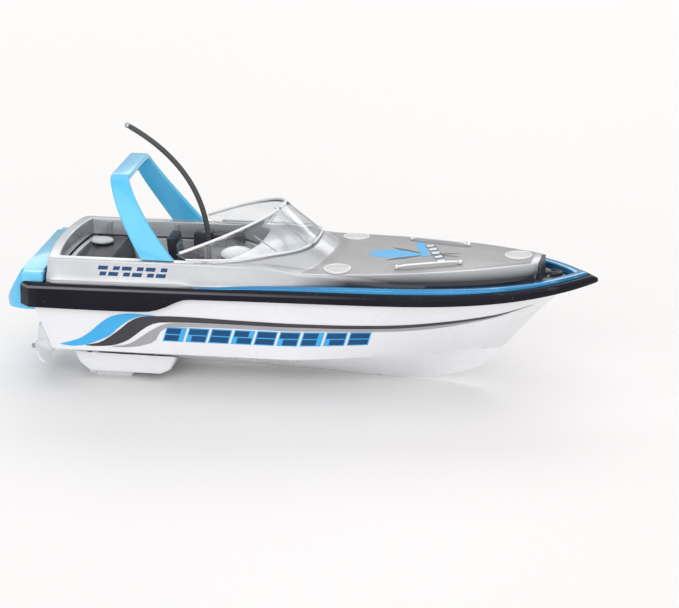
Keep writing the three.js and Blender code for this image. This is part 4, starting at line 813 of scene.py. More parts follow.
# ---------------------------------------------------------------- the boat's lines
@dataclass
class Lines:
    """The boat's lines: widths and heights along its length, as the frame has them."""

    bow: float = field(default_factory=lambda: CAD_BOX[1][0] / MM)
    stern: float = field(default_factory=lambda: CAD_BOX[0][0] / MM)
    half_beam: float = field(default_factory=lambda: CAD_BOX[1][1] / MM)
    gap: float = 0.3
    taper: float = 54.25
    taper_power: float = 3.6
    taper_rounding: float = 0.92
    apex_mitre: float = 1.45
    hull_inset: float = 1.5
    chine: float = 8.0
    chine_half: float = 17.0
    transom_rake: float = 0.36
    rail_thickness: float = 1.2
    rail_aft_inset: float = 4.4
    rim_half: float = 17.8
    rim: float = 28.85
    coaming_aft: float = 10.55
    foredeck: float = 27.5
    shield_aft: float = 37.85
    shield_length: float = 29.9
    shield_inset: float = 1.2
    shield_power: float = 2.9
    cowl: float = 3.1
    crown: float = 0.5

    def __post_init__(self) -> None:
        """Sets up the curves that the other sizes hang on."""
        b, s = self.bow, self.stern
        self.keel = through([
            (s + 12, 2.4), (s + 36, 1.64), (b - 66, 0.84), (b - 47.5, 0), (b - 36.7, 0.54), (b - 29.9, 2),
            (b - 25.5, 3.9), (b - 21.2, 7.7), (b - 16.8, 12.4), (b - 12.5, 17), (b - 8, 21), (b - 2, 24),
        ])
        self.rail_top = through([(s, 23.5), (s + 36, 23.8), (b - 40, 24.45), (b - 19, 24.9), (b, 25.3)])
        self.rail_low = through([
            (s, 18.35), (s + 32, 18.35), (s + 36, 19.2), (s + 40.5, 21.3), (s + 44, 21.6), (b - 41, 22.1),
            (b - 19, 22.75), (b, 23.7),
        ])
        self.trim_top = through([(b - 85.5, 24.4), (b - 64, 25), (b - 48, 25.45), (b, 25.85)])
        self.trim_inset = through([(b - 85.5, 2.3), (b - 64, 2.7), (b - 44, 3.2), (b - 24, 3.6), (b, 3.6)])
        self.deck_half = through([
            (s, self.rim_half), (b - 66, self.rim_half), (b - 57, 17.45), (b - 47, 16.3), (b - 37, 14.3),
            (b - 27, 11.3), (b - 17, 6.7), (b - 12, 4.1),
        ])

    def sheer(self, x: float) -> float:
        """Height of the hull's top edge."""
        return self.rail_top(x) - 1.3

    def apex(self, inset: float) -> float:
        """Where the plan outline, moved in by inset, comes to its point."""
        return self.bow - inset * self.apex_mitre

    def half(self, x: float, inset: float) -> float:
        """Half the boat's width, moved in from the outer face of the rub rail.

        Args:
            x: A place along the boat.
            inset: How far in from the rail's outer face.

        Returns:
            The half-breadth.
        """
        start = self.bow - self.taper
        t = clamp((x - start) / (self.apex(inset) - start), 0, 1)
        return (self.half_beam - inset) * (1 - t**self.taper_power) ** self.taper_rounding

    def chine_width(self, x: float) -> float:
        """The chine's half-breadth, running out on the stem.

        Args:
            x: A place along the boat.

        Returns:
            The half-breadth.
        """
        t = clamp((x - (self.bow - 66)) / 45, 0, 1)
        return self.chine_half * (1 - t**1.35)

    def transom(self, z: float) -> float:
        """Where the transom's outer face is at a height."""
        top = self.stern + self.rail_aft_inset + self.rail_thickness + self.gap
        return top + (self.sheer(self.stern) - z) * self.transom_rake

    def side(self, x: float, z: float, inset: float = 0.0) -> float:
        """Half-breadth of the hull's side at a height over the chine.

        Args:
            x: A place along the boat.
            z: The height.
            inset: How far in from the outer face.

        Returns:
            The half-breadth.
        """
        sheer = self.sheer(x)
        full = max(self.half(x, self.hull_inset + inset), 0.04)
        low = max(min(self.chine_width(x + inset * 0.8) - inset, full), 0.02)
        mid = lerp(low, full, 0.58)
        base = clamp(self.chine, self.keel(x) + 0.01, sheer - 0.6)
        t = clamp((z - base) / (sheer - base), 0, 1)
        return low * (1 - t) * (1 - 2 * t) + mid * 4 * t * (1 - t) + full * t * (2 * t - 1)

    def deck_edge(self, x: float) -> float:
        """Height of the deck's top edge.

        Args:
            x: A place along the boat.

        Returns:
            The height.
        """
        shoulder = smooth(x, self.bow - 71, self.bow - 60)
        fore = self.foredeck + 0.9 * smooth(x, self.bow - 60, self.bow - 8)
        return lerp(self.rim, fore, shoulder)

    def shield_front(self, y: float) -> float:
        """How far forward the windshield's foot reaches at a distance from the centreline.

        Args:
            y: The distance from the centreline.

        Returns:
            Where the foot is along the boat.
        """
        share = min(abs(y) / (self.rim_half - self.shield_inset), 1)
        reach = (1 - share**self.shield_power) ** (1 / self.shield_power)
        return self.stern + self.shield_aft + self.shield_length * reach

    def deck(self, x: float, y: float) -> float:
        """Height of the deck's surface at a point.

        Args:
            x: A place along the boat.
            y: The distance from the centreline.

        Returns:
            The height.
        """
        middle, front = self.shield_front(0), self.shield_front(y)
        cowl = self.cowl * smooth(x, middle - 24, middle - 3) * (1 - smooth(x, front - 1, front + 6.5))
        across = min(abs(y) / self.deck_half(x), 1)
        return self.deck_edge(x) + (self.crown + cowl) * (1 - across**2.4)


LINES = Lines()


# ---------------------------------------------------------------- hull
@dataclass
class HullShell:
    """The white lower hull: a V bottom, a hard chine and flared sides, open at the top."""

    wall: float = 1.2
    stations: int = 84
    bottom_points: int = 6
    side_points: int = 14
    corner: float = 2.2

    def row(self, share: float, inset: float) -> list[Point]:
        """One section of the shell.

        Args:
            share: How far along the hull, from the transom to the stem.
            inset: How far in from the outer face.

        Returns:
            Points from the port edge down to the keel and up to the starboard edge.
        """
        end = LINES.apex(LINES.hull_inset + inset) - 0.2
        middle = lerp(LINES.transom(14) + inset, end, share)
        keel = LINES.keel(middle + inset * 0.8) + inset * 1.1
        sheer = LINES.sheer(middle)
        chine = clamp(LINES.chine + inset * 0.5, keel + 0.01, sheer - 0.6)
        half: list[Point] = []

        def add(z: float, width: Curve) -> None:
            """Adds a point at a height, where the section's slant puts it."""
            x = lerp(LINES.transom(z) + inset, end, share)
            aft = LINES.stern + LINES.rail_aft_inset + LINES.rail_thickness + LINES.gap
            limit = LINES.half_beam - self.corner - 0.62 - inset + max(x - inset - aft, 0)
            half.append((x, min(width(x), limit), z))

        for t in steps(0, 1, self.bottom_points)[:-1]:
            add(lerp(min(keel, sheer - 0.7), chine, t), lambda x, t=t: max(LINES.side(x, 0, inset) * t, 0.01))
        for t in steps(0, 1, self.side_points):
            z = lerp(chine, sheer, t)
            add(z, lambda x, z=z: LINES.side(x, z, inset))
        return [(x, y, z) for x, y, z in reversed(half)] + [(x, -y, z) for x, y, z in half]

    def build(self) -> None:
        """Makes the shell and its printed bands."""
        skin = Skin()
        shares = [1 - (1 - t) ** 1.45 for t in steps(0, 1, self.stations)]
        outer = [skin.ring(self.row(s, 0)) for s in shares]
        inner = [skin.ring(self.row(s, self.wall)) for s in shares]
        for a, b in zip(outer, outer[1:]):
            skin.join(a, b, closed=False)
        for a, b in zip(inner, inner[1:]):
            skin.join(b, a, closed=False)
        for end in (0, -1):
            skin.join([r[end] for r in outer], [r[end] for r in inner], closed=False)
        for i in (0, -1):
            skin.cap(outer[i])
            skin.cap(list(reversed(inner[i])))
            skin.cap((outer[i][0], inner[i][0], inner[i][-1], outer[i][-1]))
        shell = skin.build("hull_shell", sharp=24)
        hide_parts("lower_hull")
        WHITE.dress(shell)
        HullBands().build()


@dataclass(frozen=True)
class Band:
    """A printed band on the hull side, between a lower and an upper line."""

    name: str
    finish: Finish
    upper: tuple[Flat, ...]
    lower: tuple[Flat, ...]
    lift: float = 0.05


@dataclass
class HullBands:
    """The swooshes and speed marks printed on both sides of the hull."""

    pieces_along: int = 70
    pieces_up: int = 4
    marks: int = 9
    mark_start: float = -28.6
    mark_end: float = 16.4
    mark_low: float = 11.1
    mark_high: float = 14.5
    slant: float = 1.1
    bands: tuple[Band, ...] = (
        Band(
            "blue", INK_BLUE,
            ((-51.6, 9.3), (-49.3, 10.0), (-47, 10.9), (-44.7, 12.5), (-42.3, 14.7), (-40, 16.3),
             (-37.8, 17.0),
             (-35, 17.3), (-30, 17.1)),
            ((-51.6, 9.2), (-48.9, 8.9), (-46, 9.3), (-43.3, 10.3), (-40.3, 11.9), (-37.9, 14.1),
             (-35.6, 15.8),
             (-33.3, 16.7), (-30, 17.0)),
        ),
        Band(
            "charcoal", INK_DARK,
            ((-45.8, 9.3), (-42.6, 10.1), (-40.3, 11.6), (-37.9, 13.5), (-35.6, 15.5), (-33.3, 16.6),
             (-31, 16.9),
             (-24.5, 17.1), (-11, 16.8), (2, 16.6), (12.5, 16.45), (23, 16.6), (31.7, 17.3), (40, 18.3),
             (51, 20)),
            ((-45.8, 9.2), (-44.5, 9.1), (-40.4, 9.4), (-38.2, 10), (-35.9, 11.2), (-33.5, 13.2),
             (-31.2, 14.8),
             (-29, 15.5), (-20, 15.8), (2, 15.75), (12.5, 15.6), (23, 15.75), (31.6, 16.55), (40, 17.7),
             (51, 19.95)),
            0.09,
        ),
        Band(
            "pewter", INK_GREY,
            ((-40, 9.3), (-37.1, 9.7), (-34.8, 10.8), (-32.4, 12.6), (-30.1, 14.1), (-27.9, 15.2),
             (-24.5, 15.6),
             (2, 15.8), (23, 15.8), (31.6, 16.6), (40, 17.7), (46.4, 18.8)),
            ((-40, 9.2), (-38.2, 9.1), (-34.8, 9.4), (-32.6, 10), (-30.3, 11), (-29.2, 13.1), (-26.8, 14.5),
             (2, 14.85), (23, 14.9), (31.5, 15.7), (40, 17.25), (46.4, 18.75)),
        ),
    )

    def film(
        self, name: str, patch: Patch, finish: Finish, lift: float, along: int
    ) -> None:
        """Lays one printed film on each side of the hull.

        Args:
            name: The piece's name, before its side.
            patch: Gives (x, z) for a share along and a share up the film.
            finish: The ink.
            lift: How far the film stands off the hull.
            along: Number of steps along the film.
        """
        for side_name, hand in reversed(SIDES):
            front, back = [], []
            for s in steps(0, 1, along):
                spots = [patch(s, t) for t in steps(0, 1, self.pieces_up)]
                front.append([(x, hand * (LINES.side(x, z) + lift), z) for x, z in spots])
                back.append([(x, hand * (LINES.side(x, z) - 0.12), z) for x, z in spots])
            skin = Skin()
            skin.slab(front, back)
            finish.dress(skin.build(f"{name}_{side_name}", sharp=50))

    def build(self) -> None:
        """Makes the bands and the row of speed marks."""
        for band in self.bands:
            upper, lower = through(band.upper), through(band.lower)
            start, end = band.upper[0][0], band.upper[-1][0]

            def patch(s: float, t: float, ends: Flat = (start, end), up: Curve = upper, low: Curve = lower) -> Flat:
                """A point of the band."""
                x = lerp(ends[0], ends[1], s)
                return x, lerp(low(x), max(up(x), low(x) + 0.04), t)

            self.film(f"hull_band_{band.name}", patch, band.finish, band.lift, self.pieces_along)
        pitch = (self.mark_end - self.mark_start) / self.marks
        for i in range(self.marks):
            start = self.mark_start + pitch * i
            self.mark(i, start, pitch)

    def mark(self, number: int, start: float, pitch: float) -> None:
        """One speed mark: a sky plate under two navy bars.

        Args:
            number: The mark's place in the row.
            start: Where it starts.
            pitch: The length that it takes up.
        """
        drop = 0.25 * number / self.marks

        def slanted(x0: float, x1: float, z0: float, z1: float) -> Patch:
            """A slanted bar.

            Args:
                x0: Where it starts along the boat.
                x1: Where it ends.
                z0: Its lower line.
                z1: Its upper line.

            Returns:
                The bar as a patch.
            """

            def patch(s: float, t: float) -> Flat:
                """A point of the bar."""
                z = lerp(z0, z1, t) + drop
                lean = self.slant * (z - self.mark_low) / (self.mark_high - self.mark_low)
                return lerp(x0, x1, s) + lean, z

            return patch

        low, high = self.mark_low, self.mark_high
        middle = (low + high) / 2
        self.film(f"speed_plate_{number}", slanted(start, start + pitch - 0.5, low, high), INK_BLUE, 0.05, 4)
        step = 0.9 if number % 2 else 0.0
        bars = {"low": (low + 0.24, middle - 0.14), "high": (middle + 0.14, high - 0.24)}
        for level, (z0, z1) in bars.items():
            shift = step if level == "low" else 0.0
            short = (0.9 - shift) * (number % 3 == 0)
            patch = slanted(start + 0.24 + shift, start + pitch - 0.76 - short, z0, z1)
            self.film(f"speed_bar_{level}_{number}", patch, INK_NAVY, 0.1, 4)


# ---------------------------------------------------------------- rail and trim
@dataclass
class SheerLine:
    """The black rub rail and the blue trim that run round the sheer."""

    stations: int = 96
    rail_corner: float = 2.2
    rail_chamfer: float = 0.8
    rail_half_end: float = 16.9
    trim_length: float = 85.5

    def round_bow(self, aft: float, inset: float, count: int) -> list[Flat]:
        """Plan points from aft to the bow's point along the port side.

        Args:
            aft: Where the line starts.
            inset: How far in from the rail's outer face.
            count: Number of steps.

        Returns:
            The points.
        """
        end = LINES.apex(inset)
        places = [lerp(aft, end, 1 - (1 - t) ** 1.7) for t in steps(0, 1, count)]
        return [(x, LINES.half(x, inset)) for x in places]

    def rail_plan(self, inset: float) -> list[Flat]:
        """Half of the rail's plan, from its end by the platform to the bow.

        Args:
            inset: How far in from the rail's outer face.

        Returns:
            The points.
        """
        aft = LINES.stern + LINES.rail_aft_inset
        shift = inset * (math.sqrt(2) - 1)
        turn = aft + self.rail_corner + shift
        wing = LINES.half_beam - self.rail_corner - shift
        corner = [(aft + inset, self.rail_half_end), (aft + inset, wing)]
        return corner + self.round_bow(turn, inset, self.stations)

    def sweep(
        self,
        name: str,
        plan: Callable[[float], list[Flat]],
        section: Callable[[float], list[Flat]],
        radii: list[float],
    ) -> Piece:
        """Sweeps a section along one side, round the bow and back.

        Args:
            name: The piece's name.
            plan: Half of the plan outline for an inset.
            section: Corners of the section, as (inset, height), at x.
            radii: Rounding of each corner.

        Returns:
            The new piece.
        """
        half = []
        for k, (x, _) in enumerate(plan(0.0)):
            corners = rounded(section(x), radii, closed=True)
            half.append([(*plan(inset)[k], z) for inset, z in corners])
        rings = half + [[(x, -y, z) for x, y, z in ring] for ring in reversed(half[:-1])]
        skin = Skin()
        skin.loft(rings)
        return skin.build(name, sharp=34)

    def build(self) -> None:
        """Makes the rail, its stern corner plates and the trim."""
        rail = self.sweep(
            "rub_rail_moulding",
            self.rail_plan,
            lambda x: [
                (0.0, LINES.rail_low(x)),
                (0.0, LINES.rail_top(x) - 0.64),
                (self.rail_chamfer, LINES.rail_top(x) - 0.1),
                (LINES.rail_thickness, LINES.rail_top(x)),
                (LINES.rail_thickness, LINES.rail_low(x)),
            ],
            [0.25, 0.22, 0.15, 0.2, 0.2],
        )
        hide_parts("rub_rail")
        BLACK.dress(rail)
        aft = LINES.bow - self.trim_length
        base = LINES.hull_inset

        def top(x: float) -> float:
            """Height of the trim, thinning out at its aft points."""
            return lerp(LINES.rail_top(x) + 0.12, LINES.trim_top(x), smooth(x, aft - 1, aft + 16))
        trim = self.sweep(
            "sheer_trim_moulding",
            lambda inset: self.round_bow(aft, inset, self.stations),
            lambda x: [
                (base, LINES.sheer(x) + LINES.gap),
                (base, top(x) - 0.4),
                (base + 0.4, top(x)),
                (LINES.trim_inset(x) - 0.3, top(x)),
                (LINES.trim_inset(x), top(x) - 0.35),
                (LINES.trim_inset(x), LINES.sheer(x) + LINES.gap),
            ],
            [0.0, 0.15, 0.2, 0.2, 0.15, 0.0],
        )
        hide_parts("sheer_trim")
        METAL_BLUE.dress(trim)
        for side_name, hand in SIDES:
            self.corner_plate(side_name, hand)

    def corner_plate(self, side_name: str, hand: int) -> None:
        """The black ledge between the coaming and the rail's aft corner.

        Args:
            side_name: Port or starboard.
            hand: 1 for port, -1 for starboard.
        """
        aft = LINES.stern + LINES.rail_aft_inset + LINES.rail_thickness + 0.02
        front = LINES.stern + LINES.coaming_aft - 0.9
        plan = [
            (aft, 16.95), (aft, 17.9), (aft + 1.35, 19.4), (front + 3.5, 19.4), (front + 3.5, 18.75),
            (front, 18.7), (front, 16.95),
        ]
        top = LINES.rail_top(aft)
        outline = rounded(plan, [0.2] * len(plan), closed=True)
        skin = Skin()
        levels = ((top - 0.7, 0.0), (top - 0.12, 0.0), (top, 0.12))
        centre = Vector((sum(x for x, _ in plan) / len(plan), sum(y for _, y in plan) / len(plan)))
        rings = []
        for z, ease in levels:
            ring = [Vector(p) + (centre - Vector(p)).normalized() * ease for p in outline]
            rings.append([(p.x, hand * p.y, z) for p in ring])
        skin.loft(rings)
        BLACK.dress(skin.build(f"stern_ledge_{side_name}", sharp=40))


# ---------------------------------------------------------------- deck
@dataclass
class UpperDeck:
    """The silver deck moulding: coaming, cowl, foredeck and its flange."""

    opening_half: float = 15.6
    opening_front: float = -8.7
    foot_half: float = 18.5
    foot: float = 24.6
    nose_inset: float = 12.75
    rim_width: float = 2.2
    foot_spread: float = 0.7
    stern_bulge: float = 1.2
    side_share: float = 0.92
    stern_steps: int = 8
    side_steps: int = 38
    fan_steps: int = 56
    top_steps: int = 46

    def foot_point(self, x: float) -> Flat:
        """Half-breadth and height of the deck wall's foot."""
        forward = smooth(x, LINES.bow - 72, LINES.bow - 58)
        wide = LINES.half(x, LINES.trim_inset(x) + LINES.gap)
        return lerp(self.foot_half, wide, forward), lerp(self.foot, LINES.trim_top(x) + 0.35, forward)

    def half_plan(self) -> list[tuple[Flat, Flat, Flat, Flat]]:
        """Matching points of the opening, the top edge, the foot and the flange, from stern to nose.

        Returns:
            Rows of matching points.
        """
        aft = LINES.stern + LINES.coaming_aft
        well, foot = aft + self.rim_width, aft - self.foot_spread
        out = []
        for v in steps(0, 1, self.stern_steps)[:-1]:
            bulge = -self.stern_bulge * (1 - v * v)
            edge = self.foot_half * v
            out.append((
                (well + bulge, self.opening_half * v),
                (aft + bulge, LINES.rim_half * v),
                (foot + bulge, edge),
                (foot - 0.05 + bulge, edge),
            ))
        cuts = ((well, self.opening_half, 0.1), (aft, LINES.rim_half, 0.135), (foot, self.foot_half, 0.3))
        corner = [(x + cut, y - cut) for x, y, cut in cuts]
        out.append((*corner, (foot + 0.25, self.foot_half - 0.25)))
        start, end = aft + 1.2, self.opening_front - 8.6
        for x in steps(start, end, self.side_steps):
            out.append(self.station(x, (max(x, aft + 2.6), self.opening_half)))
        nose = LINES.bow - self.nose_inset
        for c in steps(0, 1, self.fan_steps)[1:]:
            y_in = self.opening_half * (1 - c)
            inner = (self.opening_front - 8 * (y_in / self.opening_half) ** 3, y_in)
            if c <= self.side_share:
                out.append(self.station(lerp(end, nose, c / self.side_share), inner))
                continue
            v = 1 - (c - self.side_share) / (1 - self.side_share)
            top, foot = LINES.deck_half(nose), self.foot_point(nose)[0]
            bulge = 0.4 * (1 - v * v)
            tip = nose + bulge
            out.append((inner, (tip, top * v), (tip + 0.05, foot * v), (tip + 0.1, foot * v)))
        return out

    def station(self, x: float, inner: Flat) -> tuple[Flat, Flat, Flat, Flat]:
        """Matching points where the deck's side is at x.

        Args:
            x: A place along the boat.
            inner: The matching point of the opening.

        Returns:
            The four points.
        """
        foot = self.foot_point(x)[0]
        flange = lerp(LINES.half(x, LINES.hull_inset), foot + 0.15, smooth(x, -25.5, -21.2))
        return inner, (x, LINES.deck_half(x)), (x, foot), (x, max(flange, foot + 0.05))

    def section(self, inner: Flat, top: Flat, foot: Flat, flange: Flat) -> list[Point]:
        """The deck's closed section between the opening and the flange.

        Args:
            inner: A point of the opening.
            top: A point of the top edge.
            foot: A point of the wall's foot.
            flange: A point of the flange's edge.

        Returns:
            The section's points.
        """
        i, o, f, e = (Vector((*p, 0)) for p in (inner, top, foot, flange))
        run = o - i
        length = run.length
        forward = smooth(o.x, LINES.bow - 72, LINES.bow - 58)
        z_foot = self.foot_point(o.x)[1]

        def on_top(share: float) -> Vector:
            """A point of the deck's top surface."""
            spot = i + run * share
            return Vector((spot.x, spot.y, LINES.deck(spot.x, spot.y)))

        def bend(a: Vector, corner: Vector, b: Vector, count: int) -> list[Vector]:
            """A soft turn from a to b round a corner."""
            return [a * (1 - t) ** 2 + corner * 2 * t * (1 - t) + b * t * t for t in steps(0, 1, count)]

        rim, edge = on_top(0), on_top(1)
        low = Vector((i.x, i.y, 25.35))
        near, far = 0.35 / length, 1 - 0.4 / length
        points = [low, *bend(rim - Vector((0, 0, 0.35)), rim, on_top(near), 3)]
        points += [on_top(lerp(near, far, s)) for s in steps(0, 1, self.top_steps)[1:-1]]
        shoulder = o.lerp(f, lerp(0.07, 0.6, forward))
        shoulder.z = edge.z - lerp(0.45, 0.75, forward)
        base = Vector((f.x, f.y, z_foot))
        turn = edge.lerp(shoulder, 0.5)
        points += bend(on_top(far), edge, turn, 3)
        points += bend(turn, shoulder, shoulder.lerp(base, 0.45), 4)[1:]
        points += bend(shoulder.lerp(base, 0.45), shoulder.lerp(base, 0.75), base, 2)[1:]
        ledge = Vector((e.x, e.y, min(LINES.rail_top(e.x) + 0.15 - forward * 1.6, z_foot - 0.1)))
        bottom = LINES.sheer(e.x) + LINES.gap
        corner = Vector((f.x, f.y, 0)).lerp(Vector((e.x, e.y, 0)), 0.12)
        corner.z = ledge.z + 0.12
        points[-1] = points[-1].lerp(points[-2], 0.15)
        points += bend(points[-1], corner, ledge.lerp(corner, 0.3), 3)[1:]
        points += [ledge, Vector((e.x, e.y, bottom))]
        inward = run.normalized()
        points += [f - inward * 0.9 + Vector((0, 0, bottom)), o - inward * 0.9 + Vector((0, 0, edge.z - 1.3))]
        points += [on_top(s) - Vector((0, 0, 1.2)) for s in steps(1 - 1.5 / length, 0.75 / length, 8)]
        points.append(i + inward * 0.7 + Vector((0, 0, 25.35)))
        return [tuple(p) for p in points]

    def build(self) -> None:
        """Makes the deck, the panel on it and what is printed on both."""
        half = [self.section(*p) for p in self.half_plan()]
        mirrored = [[(x, -y, z) for x, y, z in ring] for ring in reversed(half[1:-1])]
        skin = Skin()
        skin.loft(half + mirrored, looped=True)
        deck = skin.build("deck_moulding", sharp=38)
        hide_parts("upper_deck")
        SILVER.dress(deck)
        ForedeckPanel().build()
        CoamingMarks().build()


@dataclass
class ForedeckPanel:
    """The grey satin panel on the foredeck and the emblem printed on it."""

    margin: float = 0.8
    aft_middle: float = 6.8
    aft_sweep: float = 5.2
    rise: float = 0.12
    rows: int = 64
    across: int = 26

    def build(self) -> None:
        """Makes the panel and its print."""
        nose = LINES.bow - 12.75 - 1.5
        front, back = [], []
        for s in steps(0, 1, self.rows):
            top_row, low_row = [], []
            for u in steps(-1, 1, self.across):
                aft = self.aft_middle - self.aft_sweep * abs(u) ** 2.2
                x = lerp(aft, nose + 0.35 * (1 - u * u), s)
                y = u * (LINES.deck_half(x) - self.margin)
                at_edge = s in (0.0, 1.0) or abs(u) == 1.0
                top_row.append((x, y, LINES.deck(x, y) + (0.0 if at_edge else self.rise)))
                low_row.append((x, y, LINES.deck(x, y) - 0.3))
            front.append(top_row)
            back.append(low_row)
        skin = Skin()
        skin.slab(front, back)
        panel = skin.build("foredeck_panel_satin", sharp=50)
        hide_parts("foredeck_panel")
        SATIN.dress(panel)
        self.emblem()

    def printed(self, name: str, outline: Sequence[Flat], finish: Finish, lift: float) -> None:
        """A printed shape on the panel, from its outline seen from above.

        Args:
            name: The piece's name.
            outline: Its corners.
            finish: The ink.
            lift: How far it stands off the panel.
        """
        skin = Skin()
        centre = (sum(x for x, _ in outline) / len(outline), sum(y for _, y in outline) / len(outline))

        def height(x: float, y: float, over: float) -> Point:
            """A point over the panel."""
            return x, y, LINES.deck(x, y) + self.rise + over

        rings = []
        for share in (0.0, 0.35, 0.7, 1.0):
            flat = [(lerp(centre[0], x, share), lerp(centre[1], y, share)) for x, y in outline]
            rings.append(flat)
        top = [skin.ring([height(x, y, lift) for x, y in ring]) for ring in rings[1:]]
        low = skin.ring([height(x, y, -0.15) for x, y in rings[-1]])
        tip = skin.ring([height(*centre, lift)])[0]
        for i, a in enumerate(top[0]):
            skin.faces.append((tip, a, top[0][(i + 1) % len(outline)]))
        for a, b in zip(top, top[1:]):
            skin.join(a, b)
        skin.join(top[-1], low)
        skin.cap(low)
        finish.dress(skin.build(name, sharp=60))

    def emblem(self) -> None:
        """A plain winged dart with slanted bars, of no maker."""
        def lens_edge(share: float, hand: int) -> Flat:
            """A point of the lens's edge."""
            return lerp(13.9, 26.2, share), 3.3 * hand * math.sin(math.pi * share**0.8) - 0.9

        lens = [lens_edge(t, 1) for t in steps(0, 1, 18)]
        lens += [lens_edge(t, -1) for t in reversed(steps(0, 1, 18)[1:-1])]
        self.printed("emblem_lens", lens, INK_BLUE, 0.03)
        for name, hand in SIDES:
            wing = [(18.6, 5.2 * hand - 0.9), (22.5, 3.4 * hand - 0.9), (26.6, 0.5 * hand - 0.9)]
            wing += [(23.6, 1.8 * hand - 0.9), (20.6, 3.2 * hand - 0.9)]
            self.printed(f"emblem_wing_{name}", wing, INK_DARK, 0.05)
            tail = [(27.5, 0.55 * hand - 0.8), (34.4, 1.5 * hand - 0.8), (30.5, 0.15 * hand - 0.8)]
            self.printed(f"emblem_tail_{name}", tail, INK_DARK, 0.03)
        self.printed("emblem_block", [(22.9, 9.2), (24.9, 9.5), (27.6, -2.2), (25.9, -2.6)], INK_BLUE, 0.06)
        for i, shift in enumerate(steps(0, 9.6, 4)):
            x, y = 25.7 + shift * 0.42, 6.6 - shift * 1.25
            bar = [(x, y), (x + 1.5, y + 0.9), (x + 1.95, y - 0.6), (x + 0.45, y - 1.5)]
            edge = [(x - 0.25, y + 0.2), (x + 1.55, y + 1.25), (x + 2.25, y - 0.75), (x + 0.4, y - 1.8)]
            self.printed(f"emblem_edge_{i}", edge, INK_NAVY, 0.07)
            self.printed(f"emblem_bar_{i}", bar, INK_WHITE, 0.09)


@dataclass
class CoamingMarks:
    """Navy speed marks printed on both sides of the coaming."""

    count: int = 6
    start: float = -43.0
    end: float = -27.2
    low: float = 25.55
    high: float = 27.65
    slant: float = 0.6

    def wall(self, z: float) -> float:
        """Half-breadth of the coaming's outer face at a height."""
        return lerp(18.5, 17.85, (z - 24.6) / (28.4 - 24.6))

    def build(self) -> None:
        """Makes each mark as two thin bars."""
        pitch = (self.end - self.start) / self.count
        middle = (self.low + self.high) / 2
        bars = {"low": (self.low, middle - 0.22), "high": (middle + 0.22, self.high)}
        for side_name, hand in reversed(SIDES):
            for i in range(self.count):
                x = self.start + i * pitch
                for level, (z0, z1) in bars.items():
                    trim = 0.7 if (i % 2 == 0) == (level == "low") else 0.0
                    name = f"coaming_bar_{level}_{i}_{side_name}"
                    self.bar(name, hand, (x + trim, x + pitch - 0.5), (z0, z1))

    def bar(self, name: str, hand: int, along: Flat, up: Flat) -> None:
        """One slanted bar on the coaming's face.

        Args:
            name: The piece's name.
            hand: 1 for port, -1 for starboard.
            along: Where it starts and ends.
            up: Its lower and upper heights.
        """
        grids: list[list[list[Point]]] = []
        for lift in (0.06, -0.15):
            rows = []
            for s in steps(0, 1, 3):
                row = []
                for z in up:
                    x = lerp(*along, s) + self.slant * (z - self.low) / (self.high - self.low)
                    row.append((x, hand * (self.wall(z) + lift), z))
                rows.append(row)
            grids.append(rows)
        skin = Skin()
        skin.slab(grids[0], grids[1])
        INK_NAVY.dress(skin.build(name))


# ---------------------------------------------------------------- deck fittings
def middle_of(node: str) -> Vector:
    """The middle of a CAD node's box, in millimetres."""
    low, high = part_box(node)
    return (low + high) / 2 / MM


def dressed_copy(node: str, finish: Finish, edge: float, body: str = "hull") -> Piece:
    """A finished copy of a CAD node that stands for it.

    Args:
        node: The CAD node.
        finish: The copy's finish.
        edge: Width of the eased edges in millimetres; 0 leaves them as they are.
        body: The CAD body that it rides on.

    Returns:
        The new piece.
    """
    piece = moulded(node, edge)
    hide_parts(node)
    return finish.dress(piece, body)


